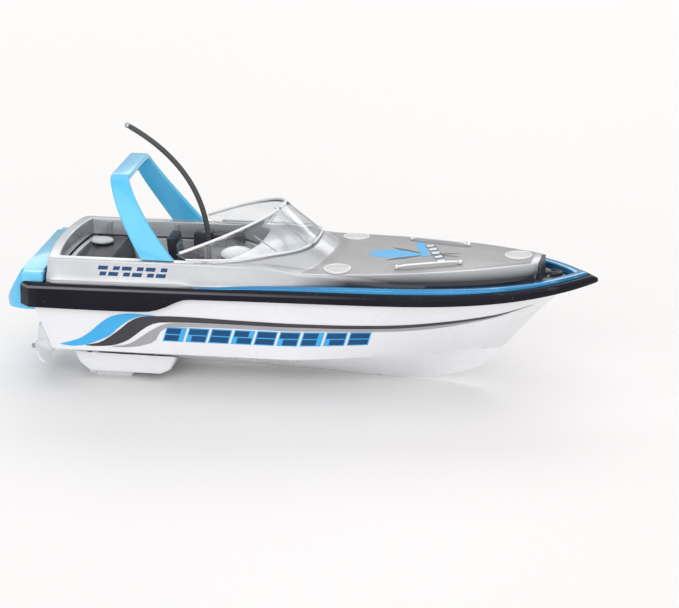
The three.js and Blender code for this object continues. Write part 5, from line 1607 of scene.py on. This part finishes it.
@dataclass
class DeckFittings:
    """Vents, handrails, and the bow well with its anchor."""

    vent_radius: float = 3.0
    vent_bars: int = 7
    rail_radius: float = 0.27
    ball_radius: float = 0.52
    sides: int = 40

    def vent(self, place: str) -> None:
        """One round vent, set to the deck's slope: a rim, a disc and a barred grille.

        Args:
            place: Port, starboard or bow.
        """
        node = f"deck_vent_{place}"
        middle = middle_of(node)
        x, y = middle.x, middle.y
        reach = self.vent_radius
        height = LINES.deck(x, y)
        along = Vector((2 * reach, 0, LINES.deck(x + reach, y) - LINES.deck(x - reach, y))).normalized()
        side = Vector((0, 2 * reach, LINES.deck(x, y + reach) - LINES.deck(x, y - reach))).normalized()
        up = along.cross(side).normalized()
        side = up.cross(along)
        seat = Matrix((along, side, up)).transposed().to_4x4()
        seat.translation = Vector((x, y, height))
        top = 0.42
        bowl = Skin()
        bowl.turned(
            [
                (0, -0.3), (reach * 0.97, -0.3), (reach, -0.2), (reach, top - 0.16),
                (reach - 0.1, top - 0.03),
                (reach - 0.25, top), (reach - 0.4, top - 0.04), (reach - 0.46, top - 0.2), (0, top - 0.2),
            ],
            self.sides, seat,
        )
        rim = bowl.build(f"{node}_rim", sharp=50)
        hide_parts(node)
        MILK.dress(rim)
        disc = Skin()
        inner = reach - 0.5
        disc.turned(
            [(0, top - 0.3), (inner, top - 0.3), (inner, top - 0.17), (inner - 0.08, top - 0.13),
             (0, top - 0.06)],
            self.sides, seat,
        )
        VENT_DISC.dress(disc.build(f"{node}_disc", sharp=50))
        grille = Skin()
        for offset in steps(-0.78, 0.78, self.vent_bars - 1):
            across = inner * offset
            half = math.sqrt(inner**2 - across**2) - 0.12
            rings = []
            for t in steps(-half, half, 6):
                far = (t**2 + across**2) / inner**2
                crest = top - 0.02 - 0.07 * far
                low = top - 0.25
                corners = [(-0.13, low), (-0.13, crest), (0.13, crest), (0.13, low)]
                corners = rounded(corners, [0, 0.08, 0.08, 0], closed=True, arc=2)
                rings.append([tuple(seat @ Vector((t, across + w, z))) for w, z in corners])
            grille.loft(rings)
        MILK.dress(grille.build(f"{node}_grille", sharp=40))

    def handrail(self, side_name: str, hand: int) -> None:
        """A slim rail with a ball at each end.

        Args:
            side_name: Port or starboard.
            hand: 1 for port, -1 for starboard.
        """
        node = f"handrail_{side_name}"
        low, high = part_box(node)
        reach = self.ball_radius + 0.05
        port, starboard = high.y / MM - reach, low.y / MM + reach
        outer, inner = (port, starboard) if hand > 0 else (starboard, port)
        aft = Vector((low.x / MM + reach, outer, 0))
        fore = Vector((high.x / MM - reach, inner, 0))
        skin = Skin()
        path = []
        for t in steps(0, 1, 12):
            spot = aft.lerp(fore, t)
            lift = 0.35 * (1 - (2 * t - 1) ** 8) + 0.4
            path.append(Vector((spot.x, spot.y, LINES.deck(spot.x, spot.y) + lift)))
        skin.rod(path, self.rail_radius, 12)
        for spot in (aft, fore):
            ground = LINES.deck(spot.x, spot.y)
            size, middle = self.ball_radius, ground + 0.5
            arc = [(size * math.sin(a), middle - size * math.cos(a)) for a in steps(0, math.pi, 10)]
            skin.turned(arc, 18, Matrix.Translation((spot.x, spot.y, 0)))
        rail = skin.build(f"{node}_plated", sharp=50)
        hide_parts(node)
        PLATED.dress(rail)

    def build(self) -> None:
        """Makes every fitting."""
        for place in ("port", "starboard", "bow"):
            self.vent(place)
        for side_name, hand in SIDES:
            self.handrail(side_name, hand)
        dressed_copy("bow_tray", SATIN, 0.2)
        dressed_copy("bow_anchor", DARK, 0.12)
        self.bulkhead()

    def bulkhead(self) -> None:
        """The dark plate across the deck's nose."""
        nose = LINES.bow - 12.75
        half = LINES.deck_half(nose) + 0.35
        low, top = 24.75, LINES.deck(nose, 0) - 0.25
        front, back = [], []
        for v in steps(-1, 1, 16):
            bulge = 0.4 * (1 - v * v)
            y = half * v
            high = min(top, LINES.deck(nose, LINES.deck_half(nose) * v) - 0.12 - 0.5 * abs(v) ** 6)
            front.append([(nose + bulge + 0.75, y, z) for z in (low, lerp(low, high, 0.5), high)])
            back.append([(nose + bulge - 0.2, y, z) for z in (low, lerp(low, high, 0.5), high)])
        skin = Skin()
        skin.slab(front, back)
        DARK.dress(skin.build("bow_bulkhead"))


# ---------------------------------------------------------------- windshield
@dataclass
class Windshield:
    """The clear wraparound windshield, swept back from its foot to its top edge."""

    top_length: float = 22.0
    top_half: float = 16.6
    top_low: float = 30.15
    top_high: float = 38.4
    thickness: float = 0.62
    swing: float = 88.0
    stations: int = 72
    rib_angles: tuple[float, ...] = (47.0, 19.0)

    def foot(self, angle: float, inset: float) -> Vector:
        """A point of the glass's foot, at an angle round from the bow.

        Args:
            angle: The angle round from the bow.
            inset: How far in from the outer face.

        Returns:
            The point.
        """
        power = 2 / LINES.shield_power
        turn = math.sin(angle)
        half = LINES.rim_half - LINES.shield_inset - inset
        x = LINES.stern + LINES.shield_aft + (LINES.shield_length - inset) * max(math.cos(angle), 0) ** power
        y = math.copysign(half * abs(turn) ** power, turn)
        return Vector((x, y, LINES.deck(x, y) + 0.4))

    def head(self, angle: float, inset: float) -> Vector:
        """A point of the glass's top edge.

        Args:
            angle: The angle round from the bow.
            inset: How far in from the outer face.

        Returns:
            The point.
        """
        x = LINES.stern + LINES.shield_aft + (self.top_length - inset) * math.cos(angle)
        y = (self.top_half - 0.7 * inset) * math.sin(angle)
        return Vector((x, y, self.top_low + (self.top_high - self.top_low) * math.cos(angle)))

    def on_face(self, angle: float, up: float, inset: float) -> Vector:
        """A point of the glass, part of the way up."""
        return self.foot(angle, inset).lerp(self.head(angle, inset), up)

    def build(self) -> None:
        """Makes the glass, its ribs and the white rods that paint highlights on its foot and top edge."""
        limit = math.radians(self.swing)
        rings = []
        for angle in steps(-limit, limit, self.stations):
            outer = [self.on_face(angle, up, 0.0) for up in steps(0, 0.985, 8)]
            inner = [self.on_face(angle, up, self.thickness) for up in steps(0.985, 0, 8)]
            crest = self.on_face(angle, 1.0, self.thickness / 2)
            rings.append([tuple(p) for p in (*outer, crest, *inner)])
        skin = Skin()
        skin.loft(rings)
        glass = skin.build("windshield_glass", sharp=50)
        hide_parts("windshield")
        GLASS.dress(glass)
        for i, degrees in enumerate(self.rib_angles):
            for side_name, hand in SIDES:
                self.rib(f"windshield_rib_{i}_{side_name}", hand * math.radians(degrees))
        # White rods along the foot and the top edge: painted highlights of the clear edges.
        self.edge_highlight("windshield_foot_highlight", 0.04, 0.0, 0.27)
        self.edge_highlight("windshield_top_highlight", 0.995, self.thickness / 2, 0.33)

    def rib(self, name: str, angle: float) -> None:
        """A thin white rib up the inside of the glass.

        Args:
            name: The piece's name.
            angle: The angle round from the bow.
        """
        skin = Skin()
        path = [self.on_face(angle, up, self.thickness + 0.15) for up in steps(0.03, 0.66, 12)]
        skin.rod(path, 0.13, 8)
        MILK.dress(skin.build(name, sharp=50))

    def edge_highlight(self, name: str, up: float, inset: float, radius: float) -> None:
        """A white rod that follows the glass: a painted highlight, where the clear edge catches the light.

        Args:
            name: The piece's name.
            up: Its height as a share of the glass.
            inset: How far in it lies from the outer face, in millimetres.
            radius: Its radius in millimetres.
        """
        limit = math.radians(self.swing - 2)
        skin = Skin()
        skin.rod([self.on_face(a, up, inset) for a in steps(-limit, limit, self.stations)], radius, 8)
        MILK.dress(skin.build(name, sharp=50))


# ---------------------------------------------------------------- radar arch
@dataclass
class RadarArch:
    """The blue arch over the cockpit: raked legs that bend into a flat top."""

    foot_aft: float = 31.0
    foot_length: float = 7.2
    top_length: float = 4.1
    rake: float = 8.0
    foot_half: float = 16.7
    top_half: float = 10.3
    foot: float = 29.15
    top: float = 46.1
    thickness: float = 1.4
    bow_power: float = 1.5
    bend: float = 2.4
    leg_steps: int = 26
    bend_steps: int = 8

    def edges(self, h: float) -> Flat:
        """The leg's aft and fore edges at a share of its height.

        Args:
            h: The share of the leg's height.

        Returns:
            Where the edges are along the boat.
        """
        aft = LINES.stern + self.foot_aft - self.rake * (1 - (1 - h) ** 1.35)
        return aft, aft + self.top_length + (self.foot_length - self.top_length) * (1 - h)

    def half(self) -> list[tuple[Flat, Vector, Flat]]:
        """Middle points, outward directions and edges from the port foot to the top.

        Returns:
            Rows of (point, direction, edges).
        """
        rise = self.top - self.thickness / 2 - self.foot
        run = self.foot_half - self.top_half

        def lean(h: float) -> float:
            """How much the leg leans inward at a share of its height."""
            return self.bow_power * run * h ** (self.bow_power - 1) / rise

        start = math.atan(lean(1.0))
        out = []
        for h in steps(0, 1 - self.bend * (1 - math.sin(start)) / rise, self.leg_steps):
            spot = (self.foot_half - run * h**self.bow_power, self.foot + rise * h)
            out.append((spot, Vector((1, lean(h))).normalized(), self.edges(h)))
        (y, z), _, _ = out[-1]
        for a in steps(start, math.pi / 2, self.bend_steps)[1:]:
            inward, up = math.cos(start) - math.cos(a), math.sin(a) - math.sin(start)
            spot = (y - self.bend * inward, z + self.bend * up)
            share = min((spot[1] - self.foot) / rise, 1.0)
            out.append((spot, Vector((math.cos(a), math.sin(a))), self.edges(share)))
        return out

    def build(self) -> None:
        """Makes the arch."""
        half = self.half()
        other = [((-y, z), Vector((-n.x, n.y)), e) for (y, z), n, e in reversed(half)]
        thick = self.thickness / 2 - 0.02
        rings = []
        for number, ((y, z), n, (aft, fore)) in enumerate(half + other):
            corners = rounded(
                [(aft, -thick), (aft, thick), (fore, thick), (fore, -thick)], [0.5] * 4, closed=True, arc=3
            )
            foot_end = number in (0, 2 * len(half) - 1)
            ring = []
            for x, out in corners:
                height = self.foot + 0.02 if foot_end else z + n.y * out
                ring.append((x, y + n.x * out, max(height, self.foot + 0.01)))
            rings.append(ring)
        skin = Skin()
        skin.loft(rings)
        arch = skin.build("radar_arch_moulding", sharp=36)
        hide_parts("radar_arch")
        SKY.dress(arch)


# ---------------------------------------------------------------- stern platform
@dataclass
class SternPlatform:
    """The blue swim platform, a stepped block behind the transom."""

    edge: float = 0.38
    shoulder_inner: float = 16.2
    shoulder_outer: float = 18.8
    shoulder_low: float = 23.62

    def build(self) -> None:
        """Makes the platform and its shoulders."""
        dressed_copy("swim_platform", SKY, self.edge)
        for side_name, hand in SIDES:
            self.shoulder(side_name, hand)

    def shoulder(self, side_name: str, hand: int) -> None:
        """Fills the step between the platform's top and the rail's stern corner.

        Args:
            side_name: Port or starboard.
            hand: 1 for port, -1 for starboard.
        """
        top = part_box("swim_platform")[1].z / MM - 0.04
        aft = LINES.stern + LINES.rail_aft_inset + self.edge
        fore = LINES.stern + LINES.coaming_aft - 1.1
        rings = []
        for x, ease in ((aft, 0.3), (aft + 0.3, 0.0), (fore - 0.3, 0.0), (fore, 0.3)):
            out, high = self.shoulder_outer - ease, top - ease
            inner, low = self.shoulder_inner, self.shoulder_low
            corners = [(inner, low), (inner, high), (out, high), (out, low)]
            section = rounded(corners, [0, 0, 0.4, 0], closed=True)
            rings.append([(x, hand * y, z) for y, z in section])
        skin = Skin()
        skin.loft(rings)
        SKY.dress(skin.build(f"platform_shoulder_{side_name}", sharp=40))


# ---------------------------------------------------------------- cockpit
@dataclass
class Cockpit:
    """The well with its bench, seats, console and lockers."""

    locker_height: float = 3.2
    locker_depth: float = 3.0
    locker_top: float = 27.7
    locker_drop: float = 0.4
    locker_wall: float = 14.1
    locker_ease: float = 0.22
    rib_places: tuple[float, ...] = (-47.5, -32.0, -16.5)
    rib_levels: tuple[float, ...] = (25.6, 26.5, 27.4, 28.3)
    lockers: tuple[Flat, ...] = ((-27.4, -23.6), (-23.2, -19.8), (-19.4, -16.2))
    dome_sides: int = 40

    def build(self) -> None:
        """Makes the well and everything in it."""
        tub = moulded("cockpit_tub", 0.0)
        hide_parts("cockpit_tub")
        # The well's silver is painted lighter to offset its shade.
        WELL_SILVER_LIGHTENED.dress(tub)
        dressed_copy("aft_bench", DARK, 0.3)
        for side_name in ("port", "starboard"):
            dressed_copy(f"helm_seat_{side_name}", DARK, 0.3)
        dressed_copy("helm_console", DARK, 0.35)
        self.seat_arch_reflection()
        self.dome()
        self.side_lockers()
        self.pilasters()
        dressed_copy("charge_socket", CAP, 0.1)
        dressed_copy("power_switch_body", RUBBER, 0.1)
        dressed_copy("power_switch_slider", MILK, 0.1, "power_switch")
        self.plug()

    def seat_arch_reflection(self) -> None:
        """A smoky blue sheet on the back of the port seat: a painted reflection of the blue arch."""
        low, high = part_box("helm_seat_port")
        low, high = low / MM, high / MM
        skin = Skin()
        front, back = [], []
        for t in steps(0.12, 0.82, 6):
            z = lerp(high.z - 6.2, high.z - 0.5, t)
            x = high.x - 4.5 - 1.1 * t
            front.append([(x + 0.62, y, z) for y in steps(low.y + 1.2, high.y - 1.2, 4)])
            back.append([(x - 0.3, y, z) for y in steps(low.y + 1.2, high.y - 1.2, 4)])
        skin.slab(front, back)
        # The blue sheet is a painted reflection of the arch.
        SEAT_ARCH_REFLECTION.dress(skin.build("seat_arch_reflection_port"))

    def dome(self) -> None:
        """The white dome on the console."""
        low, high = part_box("console_dome")
        middle = middle_of("console_dome")
        radius, base, rise = (high.x - low.x) / 2 / MM, low.z / MM, (high.z - low.z) / MM
        lip = 0.25
        turn = steps(0, math.pi / 2, 14)
        arc = [(radius * math.cos(a), base + lip + (rise - lip) * math.sin(a)) for a in turn]
        arc[-1] = (0.0, base + rise)
        skin = Skin()
        profile = [(0, base), (radius * 0.98, base), (radius, base + 0.12), *arc]
        skin.turned(profile, self.dome_sides, Matrix.Translation((middle.x, middle.y, 0)))
        dome = skin.build("console_dome_moulding", sharp=50)
        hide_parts("console_dome")
        MILK.dress(dome)

    def side_lockers(self) -> None:
        """Low dark lockers along both sides of the well."""
        wall = self.locker_wall
        inner = wall - self.locker_depth
        for side_name, hand in SIDES:
            for i, (aft, fore) in enumerate(self.lockers):
                high = self.locker_top - self.locker_drop * (i % 2)
                low = high - self.locker_height
                section = rounded(
                    [(wall, low), (wall, high), (inner + 0.5, high), (inner, high - 0.9), (inner, low)],
                    [0, 0.25, 0.3, 0.3, 0], closed=True,
                )
                mid_y, mid_z = (wall + inner) / 2, (high + low) / 2
                ease = self.locker_ease
                rings = []
                for x, pull in ((aft, ease), (aft + ease, 0.0), (fore - ease, 0.0), (fore, ease)):
                    share = pull / 2
                    ring = [(x, hand * lerp(y, mid_y, share), lerp(z, mid_z, share)) for y, z in section]
                    rings.append(ring)
                skin = Skin()
                skin.loft(rings)
                DARK.dress(skin.build(f"locker_{i}_{side_name}", sharp=40))

    def pilasters(self) -> None:
        """Shallow silver ribs on the well's side walls."""
        for side_name, hand in SIDES:
            for i, x in enumerate(self.rib_places):
                corners = [(x - 0.55, 15.5), (x - 0.4, 15.05), (x + 0.4, 15.05), (x + 0.55, 15.5)]
                section = rounded(corners, [0.1] * 4, closed=True)
                skin = Skin()
                skin.loft([[(px, hand * py, z) for px, py in section] for z in self.rib_levels])
                SILVER.dress(skin.build(f"wall_rib_{i}_{side_name}", sharp=50))

    def plug(self) -> None:
        """The round plug over the charging socket, with a finger dimple."""
        low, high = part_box("charge_plug")
        middle = middle_of("charge_plug")
        radius = (high.x - low.x) / 2 / MM
        base, top = low.z / MM, high.z / MM - 0.4
        seat = base + 3.2
        skin = Skin()
        skin.turned(
            [
                (0, base), (1.2, base), (1.35, base + 0.2), (1.35, seat), (radius - 0.1, seat),
                (radius, seat + 0.1),
                (radius, top - 0.3), (radius - 0.15, top - 0.1), (radius - 0.4, top),
                (radius - 0.7, top - 0.06),
                (radius - 1.0, top - 0.22), (0, top - 0.26),
            ],
            self.dome_sides, Matrix.Translation((middle.x, middle.y, 0)),
        )
        plug = skin.build("charge_plug_moulding", sharp=50)
        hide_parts("charge_plug")
        CAP.dress(plug, "charge_plug")


# ---------------------------------------------------------------- aerial
@dataclass
class Aerial:
    """The whip aerial: a sleeved wire that sweeps aft to a bare metal tip."""

    root_x: float = 42.6
    low: float = 17.6
    tip: float = 54.35
    sweep: float = 17.4
    bow: float = 0.35
    radius: float = 0.58
    points: int = 44

    def spot(self, t: float) -> Vector:
        """A point of the aerial's middle line.

        Args:
            t: The share of the way from the root to the tip.

        Returns:
            The point.
        """
        lean = max(t - 0.2, 0) / 0.8
        height = self.low + (self.tip - self.low) * (t + self.bow * t * (1 - t))
        return Vector((LINES.stern + self.root_x - self.sweep * lean**2, 0, height))

    def build(self) -> None:
        """Makes the whip, its tip and its grommet."""
        skin = Skin()
        skin.rod([self.spot(t) for t in steps(0, 1, self.points)], self.radius, 16)
        whip = skin.build("aerial_sleeve", sharp=50)
        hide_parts("aerial_whip")
        RUBBER.dress(whip)
        end = self.spot(1.0)
        way = (end - self.spot(0.98)).normalized()
        tip = Skin()
        tip.rod([end + way * s for s in (0.3, 0.5, 0.9)], self.radius * 1.08, 16)
        ferrule = tip.build("aerial_ferrule", sharp=50)
        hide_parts("aerial_tip")
        STEEL.dress(ferrule)
        dressed_copy("aerial_grommet", RUBBER, 0.12)


# ---------------------------------------------------------------- drive and inside
@dataclass
class DriveTrain:
    """Everything under the stern: the pod, the propellers and the shafts."""

    def build(self) -> None:
        """Makes both sides' drive."""
        dressed_copy("drive_pod", WHITE, 0.3)
        for side_name in ("port", "starboard"):
            body = f"drive_{side_name}"
            dressed_copy(f"propeller_{side_name}", MILK, 0.08, body)
            dressed_copy(f"prop_shaft_{side_name}", STEEL, 0.1, body)
            dressed_copy(f"shaft_coupling_{side_name}", RUBBER, 0.12, body)
            dressed_copy(f"motor_stub_{side_name}", STEEL, 0.05, body)
            dressed_copy(f"stern_tube_{side_name}", BRASS, 0.06)
            dressed_copy(f"motor_can_{side_name}", STEEL, 0.15)
            dressed_copy(f"motor_endcap_{side_name}", MILK, 0.12)
            dressed_copy(f"motor_lead_{side_name}", WIRE, 0.0)
            dressed_copy(f"water_contact_{side_name}", BRASS, 0.08)
        for number in range(1, 5):
            dressed_copy(f"pod_screw_{number}", STEEL, 0.06)


@dataclass
class Inside:
    """The parts shut in the hull: battery, board and mounts."""

    def build(self) -> None:
        """Makes each hidden part."""
        finishes = {
            "motor_bracket": TRAY, "battery_pack": SLEEVE, "battery_cradle": TRAY, "receiver_board": BOARD,
            "board_post": MILK, "receiver_chip": RUBBER, "receiver_crystal": STEEL,
            "receiver_capacitor": SLEEVE,
            "battery_lead": WIRE,
        }
        for node, finish in finishes.items():
            dressed_copy(node, finish, 0.0 if node == "battery_lead" else 0.15)


# ---------------------------------------------------------------- studio
@dataclass(frozen=True)
class Lamp:
    """A broad soft light. Places and sizes are metres, and the power is in watts."""

    name: str
    place: Point
    size: Flat
    power: float
    aim: Point = (0, 0, 0.02)

    def hang(self) -> None:
        """Hangs the light."""
        light = bpy.data.lights.new(self.name, "AREA")
        light.shape = "RECTANGLE"
        light.size, light.size_y = self.size
        light.energy = self.power
        holder = bpy.data.objects.new(self.name, light)
        holder.location = self.place
        holder.rotation_euler = (Vector(self.aim) - Vector(self.place)).to_track_quat("-Z", "Y").to_euler()
        bpy.context.scene.collection.objects.link(holder)


@dataclass
class Studio:
    """A pale floor, broad soft lights and the camera. The camera's sizes are millimetres."""

    target: Point = (7.45, 0.0, 16.04)
    azimuth: float = 9.25
    elevation: float = 16.55
    distance: float = 770.0
    lens: float = 185.57
    floor_size: float = 3.0
    air_colour: Point = (1.0, 0.99, 0.985)
    air_strength: float = 0.5
    lamps: tuple[Lamp, ...] = (
        Lamp("overhead", (0.05, 0.05, 0.9), (1.3, 1.1), 3.4, (0, 0, 0)),
        Lamp("front_fill", (0.1, -1.4, 0.6), (2.4, 1.1), 14.0),
        Lamp("back_strip", (-0.1, 0.8, 0.5), (1.1, 0.35), 2.4),
    )

    def camera(self) -> None:
        """Sets the camera."""
        turn, tilt = math.radians(self.azimuth), math.radians(self.elevation)
        back = Vector((math.sin(turn) * math.cos(tilt), -math.cos(turn) * math.cos(tilt), math.sin(tilt)))
        seat = bpy.data.cameras.new("camera")
        seat.lens = self.lens
        seat.sensor_width = 36.0
        seat.clip_end = 20.0
        holder = bpy.data.objects.new("camera", seat)
        holder.location = (Vector(self.target) + back * self.distance) * MM
        holder.rotation_euler = (-back).to_track_quat("-Z", "Y").to_euler()
        bpy.context.scene.collection.objects.link(holder)
        bpy.context.scene.camera = holder

    def floor(self) -> None:
        """Lays the pale floor."""
        mesh = bpy.data.meshes.new("studio_floor")
        s = self.floor_size
        mesh.from_pydata([(-s, -s, 0), (s, -s, 0), (s, s, 0), (-s, s, 0)], [], [(0, 1, 2, 3)])
        plane = bpy.data.objects.new("studio_floor", mesh)
        weave = Weave("studio_paper")
        cloud = weave.spread(weave.noise(3.0, 2.0), 0.3, 0.7, 0, 1)
        paper = weave.mix(cloud, (0.9, 0.885, 0.88), (0.93, 0.915, 0.91))
        weave.link(paper, weave.shader.inputs["Base Color"])
        weave.shader.inputs["Roughness"].default_value = 0.55
        plane.data.materials.append(weave.material)
        bpy.context.scene.collection.objects.link(plane)

    def build(self) -> None:
        """Sets up the whole studio."""
        self.camera()
        self.floor()
        world = bpy.data.worlds.new("studio_air")
        world.use_nodes = True
        air = world.node_tree.nodes["Background"]
        air.inputs["Color"].default_value = (*self.air_colour, 1)
        air.inputs["Strength"].default_value = self.air_strength
        scene = bpy.context.scene
        scene.world = world
        scene.view_settings.view_transform = "Standard"
        for lamp in self.lamps:
            lamp.hang()


def main() -> None:
    """Builds the studio, then the boat's sub-assemblies in order."""
    logging.basicConfig(level=logging.INFO, format="%(message)s")
    classes = (
        Studio,
        HullShell,
        SheerLine,
        UpperDeck,
        DeckFittings,
        Windshield,
        RadarArch,
        SternPlatform,
        Cockpit,
        Aerial,
        DriveTrain,
        Inside,
    )
    for kind in classes:
        LOG.info("building %s", kind.__name__)
        kind().build()


if __name__ == "__main__":
    main()
